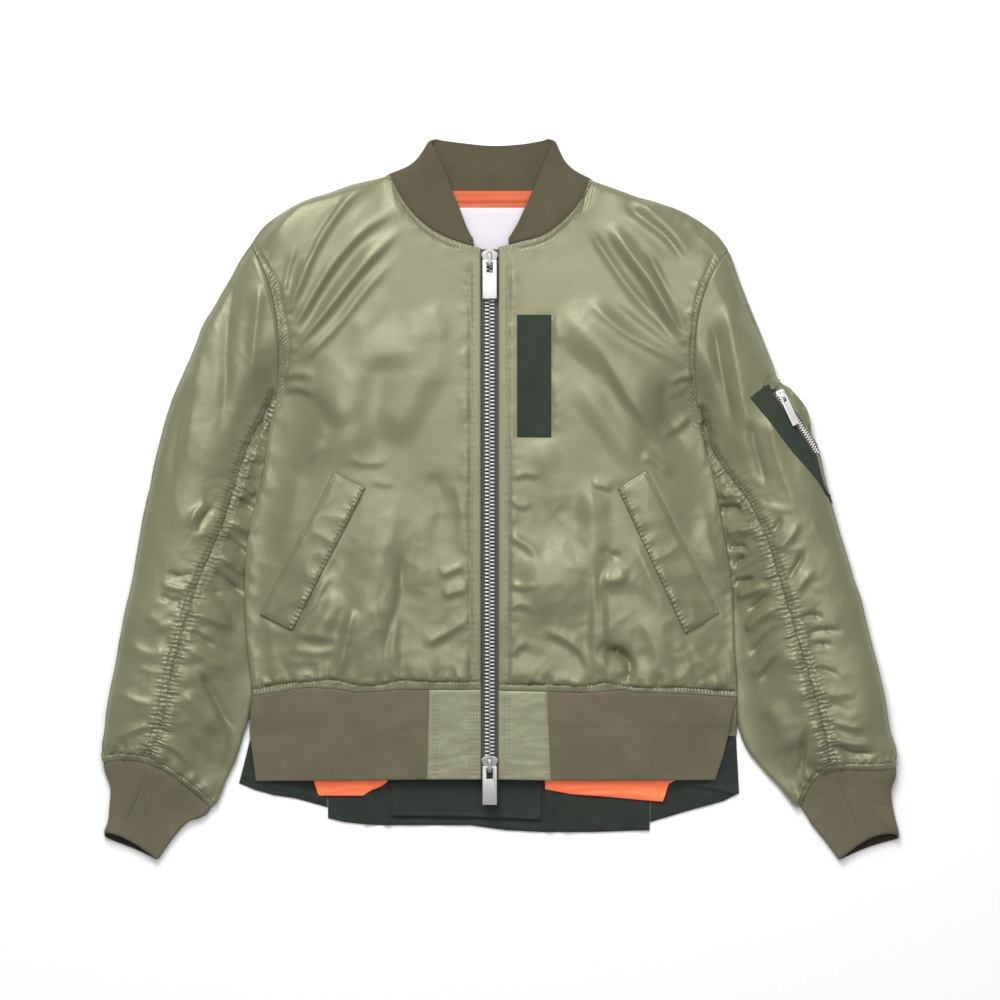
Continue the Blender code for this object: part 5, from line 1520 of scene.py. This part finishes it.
def pull_tab(k, width, length):
    """A flat tab, a slot below its top bar and every edge eased."""
    tab = block((width, length, 1.9 * k), (0, BAR_IN * k - length / 2, 0))
    slot = block((6.2 * k, 10.4 * k, 6 * k), (0, -6.5 * k, 0))
    finished(tab, "BOOLEAN", operation="DIFFERENCE", object=slot, solver="EXACT")
    bpy.data.objects.remove(slot, do_unlink=True)
    bevelled(tab, 0.5 * k, 3, 50)
    return tab


# The slider bodies are the nickel of the teeth and pulls painted darker: painted shade.
slider_metal_painted_darker = bright_metal("slider_metal_painted_darker", 0.34, 0.45)
pocket_metal = bright_metal("pocket_metal", 0.86, 0.42)


def slider_and_pull(slider, pull, k, width, length, body_metal=slider_metal_painted_darker, tab_metal=zip_metal):
    post = block((3.0 * k, 3.2 * k, 2.4 * k), (0, 7.4 * k, -3.4 * k))
    body = [shaped_plate(k, -3.5, -2.3), bail_strap(k), post, shaped_plate(k, -5.2, -4.3, 0.95)]
    body = joined(f"{slider}_body", body)
    hinge = hinge_of(pull, k)
    tab = pull_tab(k, width, length)
    tab.name = tab.data.name = f"{pull}_tab"
    pair = ((body, slider, "jacket", body_metal), (tab, pull, pull, tab_metal))
    for thing, node, rides_on, metal in pair:
        in_hinge(thing, *hinge)
        thing.data.materials.clear()
        thing.data.materials.append(metal)
        smoothed(thing, 40)
        fastened(thing, node, rides_on)


slider_and_pull("zip_slider_top", "zip_pull_top", 1.0, 14.4, 39.0)
slider_and_pull("zip_slider_bottom", "zip_pull_bottom", 1.0, 14.4, 39.0)
bpy.data.objects.remove(tooth, do_unlink=True)


# The pocket welts: slanted double strips of the shell satin, turned in and stitched down round
# their edges over the pocket openings. They lie smooth while the cloth round them creases.

WELT_WALL = 1.6


def laid_patch(corners, rows, cols):
    """Plan points of a four-cornered strip, its first row along the first two corners."""
    a, b, c, d = (np.array(corner, float) for corner in corners)
    u = rim_shares(cols, (0.01, 0.022))[None, :, None]
    v = rim_shares(rows, (0.002, 0.005))[:, None, None]
    return (1 - v) * ((1 - u) * a + u * b) + v * ((1 - u) * d + u * c)


def draped_over(tree, plan, lift, smooth=3):
    """Middle points of a strip that lies on finished cloth, smoother than what is under it."""
    heights = np.zeros(plan.shape[:2])
    for row, col in np.ndindex(*heights.shape):
        heights[row, col] = surface_at(tree, *plan[row, col])[0][2]
    for _ in range(smooth):
        padded = np.pad(heights, 1, mode="edge")
        around = (padded[:-2, 1:-1] + padded[2:, 1:-1] + padded[1:-1, :-2] + padded[1:-1, 2:]) / 4
        heights = np.maximum(0.4 * heights + 0.6 * around, heights - 0.35)
    return np.dstack([plan, heights + lift])


def laid_on(name, points, relief, finish, wall, roll=0.9, marks=None):
    """A small piece laid with its outer face upwards, rolled over at all its rims."""
    if outward(points)[len(points) // 2, points.shape[1] // 2, 2] < 0:
        points, relief = points[:, ::-1], relief[:, ::-1]
        marks = {mark: value[:, ::-1] for mark, value in (marks or {}).items()}
    return cloth_sheet(name, points, finish, relief, wall, ALL_RIMS, roll, marks)


welts = {}
for side in SIDES:
    corners = WELT[side]
    plan = laid_patch(corners, 104, 28)
    points = draped_over(front_faces, plan, 0.9 + WELT_WALL / 2, 8)
    x, y = plan[..., 0], plan[..., 1]
    inside = -inside_gap(corners, x, y)
    relief = 1.2 * lumps(x, y, 34, 111) + 1.9 * creased(x, y, 26, 112, 20, 1.5)
    relief += 1.5 * rounded(np.clip(inside / 8, 0, 1))
    relief -= 0.9 * hump(inside - 2.6, 0.8)
    inner, outer = ((1, 2), (0, 3)) if side == "right" else ((0, 3), (1, 2))
    for (start, end), seed, pitch, height in ((inner, 113, 9.0, 1.4), (outer, 114, 19.0, 0.7)):
        edge = [corners[start], tuple(np.mean([corners[start], corners[end]], axis=0)), corners[end]]
        to_middle = np.subtract(np.mean(corners, axis=0), edge[0])
        inward = np.sign(np.cross(np.subtract(edge[2], edge[0]), to_middle))
        gathers(relief, x, y, edge, inward, pitch, 15, height, seed)
    from_inner = off_line(np.array([corners[k] for k in inner], float), x, y)[0]
    marks = {"ruche": 0.7 * hump(from_inner, 5.0, 4) + 0.15 * hump(inside, 4.0, 4)}
    welts[side] = laid_on(
        f"pocket_welt_{side}_strip", points, relief, shell_nylon, WELT_WALL, marks=marks)
    sewn_in(welts[side], f"pocket_welt_{side}")


# The chest ribbon: dark green grosgrain sewn down round its edges. Its weft ribs run across it.

RIBBON_WALL = 1.2
GREEN = (0.020, 0.031, 0.020)


def grosgrain(name, colour, turn=0.0, scale=640.0):
    """Close cross ribs with a low shine."""
    material, shader, add = new_finish(name)
    turned = {"Rotation": (0, 0, math.radians(turn)), "Vector": add("UVMap", uv_map="cut")}
    rib = {"Scale": scale, "Distortion": 0.4, "Vector": add("Mapping", turned)}
    rib = add("TexWave", rib, "Fac", bands_direction="Y")
    cloud = {"Scale": 45, "Detail": 4, "Vector": add("TexCoord", output="Object")}
    tone = toned(add, add("TexNoise", cloud), colour, 0.86, 1.14, 0.3, 0.7)
    bump = add("Bump", {"Strength": 0.6, "Distance": 0.00025, "Height": rib})
    fed(shader, {
        "Base Color": tone, "Normal": bump, "Roughness": 0.62, "Specular IOR Level": 0.35,
        "Sheen Weight": 0.08, "Sheen Roughness": 0.4})
    return material


green_ribbon = grosgrain("green_grosgrain", GREEN)
plan = laid_patch(CHEST_RIBBON, 126, 20)
points = draped_over(front_faces, plan, 0.25 + RIBBON_WALL / 2, 5)
x, y = plan[..., 0], plan[..., 1]
relief = 0.12 * np.abs(np.sin(np.pi * y / 3.9)) + 0.25 * lumps(x, y, 22, 121)
relief -= 0.25 * hump(-inside_gap(CHEST_RIBBON, x, y) - 1.9, 0.7)
for rib_y in (173, 162, 142.5, 118.5, 110.5):
    relief -= 0.5 * hump(y - rib_y - 0.01 * x, 0.8)
chest_ribbon = laid_on("chest_ribbon_strip", points, relief, green_ribbon, RIBBON_WALL, 0.5)
sewn_in(chest_ribbon, "chest_ribbon")


# The sleeve pocket: a zip set on a slant in the left sleeve's upper piece, with a dark green band
# below it, a tab of shell satin over its top end and a puffed flap of the sleeve along its outside.

# The band's inner edge and its outer edge, from its top end down to its pointed tip
BAND_INNER = ((249, 102), (271, 75), (290, 50), (316, 20), (325, 7), (330, -1))
BAND_OUTER = ((267, 116), (277, 107), (298, 80), (308, 64), (315, 47), (320, 28), (325, 12), (331.5, -3))
POCKET_CHAIN = ((274, 108), (292, 84), (307, 62), (316, 47))
POCKET_TAB = ((262, 114), (270, 124), (278, 119), (271, 110))
POCKET_GAP, POCKET_PITCH = 0.5, 2.8
arm_faces = looked_down_on(sleeves["left", "upper"])


def between_lines(inner, outer, rows, cols):
    """Plan points of a strip between two lines, its rows running along them."""
    down, over = rim_shares(rows, (0.002, 0.005)), rim_shares(cols, (0.012, 0.03))
    low, high = curve(inner, down), curve(outer, down)
    return low[:, None] + over[None, :, None] * (high - low)[:, None]


plan = between_lines(BAND_INNER, BAND_OUTER, 110, 22)
points = draped_over(arm_faces, plan, POCKET_GAP + RIBBON_WALL / 2, 8)
x, y = plan[..., 0], plan[..., 1]
slant = (x * 0.83 + y * 0.55) / 1.95
relief = 0.14 * np.abs(np.sin(np.pi * slant)) + 0.4 * lumps(x, y, 20, 131)
pocket_band = laid_on("sleeve_pocket_band_strip", points, relief, green_ribbon, RIBBON_WALL, 0.5)
sewn_in(pocket_band, "sleeve_pocket_band")


def beside(line, offset):
    """A line moved sideways in plan."""
    line = np.array(line, float)
    way = np.gradient(line, axis=0)
    way /= np.linalg.norm(way, axis=1, keepdims=True)
    return line + offset * np.stack([-way[:, 1], way[:, 0]], axis=1)


outer_tape = beside(POCKET_CHAIN, 4.5) * 0.5 + beside(POCKET_CHAIN, 2.0) * 0.5
outer_tape[:2] = beside(POCKET_CHAIN, 4.5)[:2]
plan = between_lines(beside(POCKET_CHAIN, -4.0), outer_tape, 70, 10)
points = draped_over(arm_faces, plan, POCKET_GAP + RIBBON_WALL + 0.4, 8)
relief = 0.1 * lumps(plan[..., 0], plan[..., 1], 6, 132)
pocket_tape = laid_on("sleeve_pocket_tape_strip", points, relief, tape_grey, TAPE_WALL, 0.4)
sewn_in(pocket_tape, "sleeve_pocket_tape")
tape_faces = looked_down_on(pocket_tape)
small_tooth = block((3.4 * MM, 1.4 * MM, 1.2 * MM))
bevelled(small_tooth, 0.3 * MM)
chain_length = line_length(curve(POCKET_CHAIN, np.linspace(0, 1, 60)))
places = []
for turn in (-1, 1):
    first = 5.0 + (POCKET_PITCH / 2 if turn > 0 else 0)
    for place in np.arange(first, chain_length - 0.5, POCKET_PITCH):
        here, ahead = curve(POCKET_CHAIN, np.array((place, min(place + 1, chain_length))) / chain_length)
        along = (ahead - here) / np.linalg.norm(ahead - here)
        side_way = np.array((-along[1], along[0]))
        on_tape, normal = surface_at(tape_faces, *(here + 1.0 * turn * side_way))
        places.append((on_tape + 0.6 * normal, axes_along((*side_way, 0), normal)))
pocket_teeth = set_down("sleeve_pocket_teeth", small_tooth, places, pocket_metal)
fastened(pocket_teeth, "sleeve_pocket_chain")
bpy.data.objects.remove(small_tooth, do_unlink=True)

plan = laid_patch(POCKET_TAB, 22, 22)
points = draped_over(arm_faces, plan, 0.9 + RIBBON_WALL / 2, 8)
relief = 0.5 * creased(plan[..., 0], plan[..., 1], 7, 133)
pocket_tab = laid_on("sleeve_pocket_tab_patch", points, relief, shell_nylon, RIBBON_WALL, 0.5)
sewn_in(pocket_tab, "sleeve_pocket_tab")
slider_and_pull("sleeve_pocket_slider", "sleeve_pocket_pull", 0.6, 8.0, 33.0, pocket_metal, pocket_metal)


# The lining where it shows: bright orange satin inside the back neck, with a blank white woven
# label sewn on it, and two turned-back folds of it inside the back's longer hem.

LINING_WALL, LABEL_WALL, LYING_GAP, BAND_WALL = 1.6, 1.0, 0.5, 2.0
LINING_NECK = ((-86, 309), (68, 309), (44, 228), (-62, 228))
NECK_LABEL = ((-43, 292), (26, 292), (26, 244), (-43, 244))
# One orange satin in two copies: the hem's is painted paler (painted light), the neck's painted darker
# (painted shade).
ORANGE, NECK_ORANGE = (0.92, 0.185, 0.075), (0.55, 0.102, 0.041)
ORANGE_TINTS = ((1.0, 0.62, 0.42), (1.0, 0.45, 0.25))


def flat_points(plan, bottom, wall):
    return np.dstack([plan, np.full(plan.shape[:2], bottom + wall / 2)])


orange_satin = satin_nylon("orange_lining", ORANGE, 0.42, 0.5, ORANGE_TINTS)
# Painted light: the hem lining's satin glows a little, so its folds stay bright in the shadow of the
# front's hem.
hem_lining_glow = orange_satin.node_tree.nodes["Principled BSDF"]
fed(hem_lining_glow, {"Emission Color": (1.0, 0.17, 0.07, 1), "Emission Strength": 0.22})
# The neck's copy of the lining, painted darker: painted shade.
neck_satin = satin_nylon("orange_neck_lining", NECK_ORANGE, 0.5, 0.5, ORANGE_TINTS)
plan = laid_patch(LINING_NECK, 56, 26)
x, y = plan[..., 0], plan[..., 1]
relief = 0.5 * lumps(x, 3 * y, 40, 141) + 0.5 * hump(y - 300 - 0.02 * x, 2.2)
relief += 0.35 * creased(x, y, 18, 142, 0, 3.0)
relief -= 0.6 * hump(y - 296.5 - 1.0 * lumps(x, 0 * x, 30, 143), 1.3)
relief *= ease(inside_gap(NECK_LABEL, x, y) / 4 + 0.4)
points = flat_points(plan, SHELL_WALL + LYING_GAP, LINING_WALL)
neck_lining = laid_on("lining_neck_panel", points, relief, neck_satin, LINING_WALL, 0.6)
sewn_in(neck_lining, "lining_neck")


def woven_white(name):
    """A close white label weave."""
    material, shader, add = new_finish(name)
    yarns = {"Color1": (0.70, 0.67, 0.71, 1), "Color2": (0.63, 0.60, 0.64, 1)}
    weave = add("TexChecker", {"Scale": 2200, "Vector": add("UVMap", uv_map="cut"), **yarns})
    bump = {"Strength": 0.3, "Distance": 0.0001, "Height": weave.node.outputs["Fac"]}
    fed(shader, {"Base Color": weave, "Normal": add("Bump", bump), "Roughness": 0.6})
    return material


plan = laid_patch(NECK_LABEL, 28, 40)
x, y = plan[..., 0], plan[..., 1]
relief = 0.22 * lumps(x, y, 18, 151)
inside = -inside_gap(NECK_LABEL, x, y)
relief -= 0.18 * hump(inside - 2.2, 0.8)
points = flat_points(plan, SHELL_WALL + LYING_GAP + LINING_WALL + 0.4, LABEL_WALL)
neck_label = laid_on("neck_label_patch", points, relief, woven_white("white_label"), LABEL_WALL, 0.4)
sewn_in(neck_label, "neck_label")

# Lower edge of each fold of lining, from the wearer's right to the left
LINING_LOWER = {
    "right": (
        (-190, -268), (-187, -278), (-181.5, -295.5), (-137, -295.5), (-128, -290), (-118, -286),
        (-112, -281),
    ),
    "left": ((45, -289), (71, -294), (107, -296.5), (143, -300), (163.5, -301.5), (168, -284), (178, -279)),
}


def to_lower_edge(plan, lower):
    """A laid strip with its lower edge drawn to a line, keeping its upper one."""
    wanted = np.interp(plan[..., 0], *np.array(lower, float).T)
    drop = (plan[..., 1] - plan[:1, :, 1]) / (plan[-1:, :, 1] - plan[:1, :, 1])
    plan = plan.copy()
    plan[..., 1] += drop ** 2 * (wanted - plan[-1:, :, 1])
    return plan


# Soft folds across each piece: path, half width and height
LINING_FOLDS = {"right": (
    ((-178, -284, -155, -283, -128, -280), 2.4, 1.8),
    ((-170, -291, -150, -288, -130, -288), 1.8, 1.6),
    ((-134, -292, -126, -284, -114, -280), 2.2, 1.8),
), "left": (
    ((56, -289, 100, -287, 150, -288), 2.2, 1.8),
    ((80, -295, 115, -293, 156, -297), 1.6, 1.4),
    ((90, -283, 130, -281, 164, -284), 1.8, 1.2),
    ((160, -296, 164, -288, 169, -283), 1.6, -1.2),
)}
LINING_SPAN = {"right": (-190, -112), "left": (45, 178)}
for side in SIDES:
    from_x, to_x = LINING_SPAN[side]
    plan = laid_patch(((from_x, -262), (to_x, -262), (to_x, -292), (from_x, -292)), 26, 60)
    plan = to_lower_edge(plan, LINING_LOWER[side])
    x, y = plan[..., 0], plan[..., 1]
    relief = 0.7 * lumps(0.6 * x, 2 * y, 26, 161) + 0.5 * creased(x, y, 16, 162, -6, 3.0) + 1.8
    for fold in LINING_FOLDS[side]:
        crease(relief, x, y, *fold, 0.6)
    points = flat_points(plan, BAND_WALL + 0.4, LINING_WALL)
    relief = np.maximum(relief, -0.8)
    fold = laid_on(f"lining_hem_{side}_fold", points, relief, orange_satin, LINING_WALL)
    sewn_in(fold, f"lining_hem_{side}")


# The back's longer hem: a dark green ribbed band below the front's hem, pleated at its middle into
# a box pleat and left flat at its two ends, where it turns up to the side seams.

HEM_SIDES = {
    "right": ((-249, -235.8), (-172.4, -235.8), (-172.4, -307), (-261, -283)),
    "left": ((151.4, -235.8), (236, -235.8), (239, -293), (150, -322)),
}
HEM_PLEAT = ((-172, -235.8), (151, -235.8), (149.4, -330), (-172, -325))
HEM_BOX_PLEAT = ((-110, -244), (42, -244), (42, -319), (-110, -316))
green_hem = grosgrain("green_hem", (0.019, 0.027, 0.020), 90.0, 520.0)


def green_band(name, node, grid, corners, lower_edge, bottom, seed, flat, area, folds):
    plan = to_lower_edge(laid_patch(corners, *grid), lower_edge)
    x, y = plan[..., 0], plan[..., 1]
    relief = 0.6 * lumps(x, 0.5 * y, 24, seed) + 0.5 * creased(x, y, 22, seed + 5, 84, 2.6)
    relief -= 0.3 * hump(y - plan[-1:, :, 1] - 4.0, 0.8)
    for fold in folds:
        crease(relief, x, y, *fold, 0.5, 0.05, 0.05)
    points = flat_points(plan, bottom, BAND_WALL)
    band = laid_on(name, points, np.maximum(relief, -1.0), green_hem, BAND_WALL, 0.7)
    sewn_in(band, node)


# Soft upright folds in the pleated band: path, half width and height
PLEAT_FOLDS = (
    ((-110, -318, -40, -319.5, 43, -323), 1.5, -2.4),
    ((-136, -290, -132, -305, -134, -328), 2.6, 2.4),
    ((-124, -288, -121, -305, -122, -328), 1.8, -1.6),
    ((-113, -288, -112, -305, -113, -328), 2.6, 3),
    ((-159, -290, -157, -305, -158, -326), 6, 0.9),
    ((48, -290, 49, -305, 48, -333), 2.4, 3),
    ((56, -290, 57, -305, 57, -333), 2, -1.6),
    ((66, -290, 68, -305, 67, -333), 3, 2.4),
    ((100, -300, 102, -315, 100, -332), 8, 0.8),
    ((140, -300, 146, -315, 144, -332), 4, 1),
)
SIDE_FOLDS = {"right": (
    ((-251, -230, -252, -255, -254, -280), 2, 1.8),
    ((-238, -282, -210, -290, -175, -300), 3, 1),
), "left": (
    ((228, -242, 220, -265, 212, -285), 3, 2.4),
    ((237, -245, 234, -270, 230, -290), 1.6, -1.2),
    ((190, -284, 214, -288, 238, -294), 1.6, 1.6),
)}
BOX_FOLDS = (
    ((-105, -282, -104, -300, -104, -315), 1.8, 1.6),
    ((-56, -282, -55, -300, -56, -315), 3.5, 0.8),
    ((39, -282, 38, -300, 39, -318), 1.8, 1.6),
    ((-108, -315, -40, -316, 41, -319), 1.2, 0.8),
)
SIDE_LOWER = {
    "right": ((-261, -283), (-244, -290), (-226, -295), (-205, -298), (-173, -307)),
    "left": ((150, -322), (187, -311), (223, -301), (239, -293)),
}
PLEAT_LOWER = (
    (-172, -318), (-155, -322), (-137, -324), (-123, -325), (-30, -325), (6, -330), (43, -332), (89, -332),
    (149.4, -330),
)
BOX_LOWER = ((-110, -316), (-22, -317), (42, -320))
SIDE_CUT = {"right": ((0.095, 0.075), 0.0056), "left": ((0.098, 0.088), 0.0069)}
for side in SIDES:
    green_band(f"back_hem_side_{side}_band", f"back_hem_side_{side}", (44, 44), HEM_SIDES[side],
               SIDE_LOWER[side], 0.0, 171, *SIDE_CUT[side], SIDE_FOLDS[side])
green_band("back_hem_pleat_band", "back_hem_pleat", (40, 130), HEM_PLEAT, PLEAT_LOWER, 0.0, 172,
           (0.330, 0.094), 0.0306, PLEAT_FOLDS)
green_band("back_hem_box_band", "back_hem_box_pleat", (40, 70), HEM_BOX_PLEAT, BOX_LOWER, BAND_WALL + 0.4,
           173, (0.157, 0.076), 0.0118, BOX_FOLDS)


# The stitching: lockstitch in thread of each piece's own colour. One stitch is modelled and set
# down along every sewn line that shows.

THREAD_PITCH, THREAD_LONG, THREAD_THICK = 3.0, 2.2, 0.5


def thread(name, colour):
    material, shader, add = new_finish(name)
    twist = {"Scale": 1500, "Vector": add("TexCoord", output="Object")}
    twist = add("TexWave", twist, "Fac", bands_direction="DIAGONAL")
    bump = add("Bump", {"Strength": 0.4, "Distance": 0.0001, "Height": twist})
    fed(shader, {"Base Color": (*colour, 1), "Normal": bump, "Roughness": 0.55})
    return material


stitch = add_primitive("ico_sphere", subdivisions=1, radius=1.0)
stitch_size = (THREAD_LONG / 2 * MM, THREAD_THICK / 2 * MM, 0.4 * THREAD_THICK * MM)
stitch.data.transform(Matrix.Diagonal((*stitch_size, 1)))


def stitch_rows(name, tree, rows, finish=thread("sage_thread", (0.19, 0.19, 0.115))):
    """Stitches down each of several lines over finished cloth, as one piece."""
    places = []
    for row in rows:
        line = line_through(row, 80) if len(row) > 2 else np.array(row, float)
        steps = walked(line)
        for at in np.arange(THREAD_PITCH, steps[-1] - THREAD_PITCH / 2, THREAD_PITCH):
            here = np.array([np.interp(at, steps, line[:, k]) for k in (0, 1)])
            ahead = np.array([np.interp(at + 0.8, steps, line[:, k]) for k in (0, 1)])
            spot, normal = surface_at(tree, *here)
            step = surface_at(tree, *ahead)[0] - spot
            if normal[2] > 0.2 and abs(step[2]) < 1.2:
                places.append((spot + 0.12 * normal, axes_along(step, normal)))
    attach(set_down(name, stitch, places, finish), "jacket")


def moved_in(corners, inset):
    """The outline of a four-cornered piece, drawn in all round."""
    corners = np.array(corners, float)
    middle = corners.mean(axis=0)
    rows = []
    for a, b in zip(corners, np.roll(corners, -1, axis=0)):
        along = (b - a) / np.linalg.norm(b - a)
        way = np.array((-along[1], along[0]))
        way = way if np.dot(middle - a, way) > 0 else -way
        rows.append((a + inset * way + 0.8 * inset * along, b + inset * way - 0.8 * inset * along))
    return rows


green_thread = thread("green_thread", (0.018, 0.026, 0.018))
for side in SIDES:
    rows = [
        ARMHOLE_STITCH[side], neck_row(side), [(ZIP_STITCH_X[side], y) for y in (236, -184)],
        HEM_STITCH[side],
    ]
    stitch_rows(f"front_{side}_stitching", front_faces, rows)
    stitch_rows(f"welt_{side}_stitching", looked_down_on(welts[side]), moved_in(WELT[side], 2.8))
    rows = [[(x, -194), (x + (0.0 if abs(x) < 40 else 0.6), -276)] for x in BLOCK_STITCHES[side]]
    stitch_rows(f"block_{side}_stitching", looked_down_on(hem_pieces[side][1]), rows)
    seam = face_seam(side, 0.6, CUFF_ROW - 0.1)
    rows = [beside(seam, 5.2), beside(seam, -5.2), cuff_seam(side) + (0, 7.0)]
    arm_tree = looked_down_on(sleeves[side, "upper"], sleeves[side, "under"])
    stitch_rows(f"sleeve_{side}_stitching", arm_tree, rows)
ribbon_rows = moved_in(CHEST_RIBBON, 1.9)
stitch_rows("ribbon_stitching", looked_down_on(chest_ribbon), ribbon_rows, green_thread)
bpy.data.objects.remove(stitch, do_unlink=True)


# The studio: a wide white table top that the jacket lies on, one broad soft light from beyond the
# collar, a softer one overhead and a pale room all round.

FLOOR_SIZE, BELOW_TABLE = 6.0, -0.0006
floor = add_primitive("plane", size=FLOOR_SIZE, location=(0, 0, BELOW_TABLE))
floor.name = "table_top"
white_table, table_shader, _ = new_finish("white_table")
fed(table_shader, {"Base Color": (0.90, 0.90, 0.90, 1), "Roughness": 0.9})
floor.data.materials.append(white_table)

room = bpy.data.worlds.new("pale_room")
room.use_nodes = True
fed(room.node_tree.nodes["Background"], {"Color": (1.0, 1.0, 1.0, 1), "Strength": 0.33})
bpy.context.scene.world = room


def soft_light(name, place, size, watts):
    """A round light aimed at the middle of the table."""
    lamp = bpy.data.lights.new(name, "AREA")
    lamp.shape = "DISK"
    lamp.size = size
    lamp.energy = watts
    holder = placed(name, lamp)
    holder.location = place
    holder.rotation_euler = (-Vector(place)).to_track_quat("-Z", "Y").to_euler()
    holder.visible_camera = False


soft_light("window", (-0.5, 1.95, 2.2), 1.3, 65)
soft_light("overhead", (0.1, 0.6, 2.9), 2.4, 46)

lens = bpy.data.cameras.new("camera")
lens.sensor_width = 36.0
lens.lens = 288.0
lens.clip_end = 50.0
camera = placed("camera", lens)
camera.location = (0, 0, 8.0)
bpy.context.scene.camera = camera
bpy.context.scene.view_settings.view_transform = "Standard"
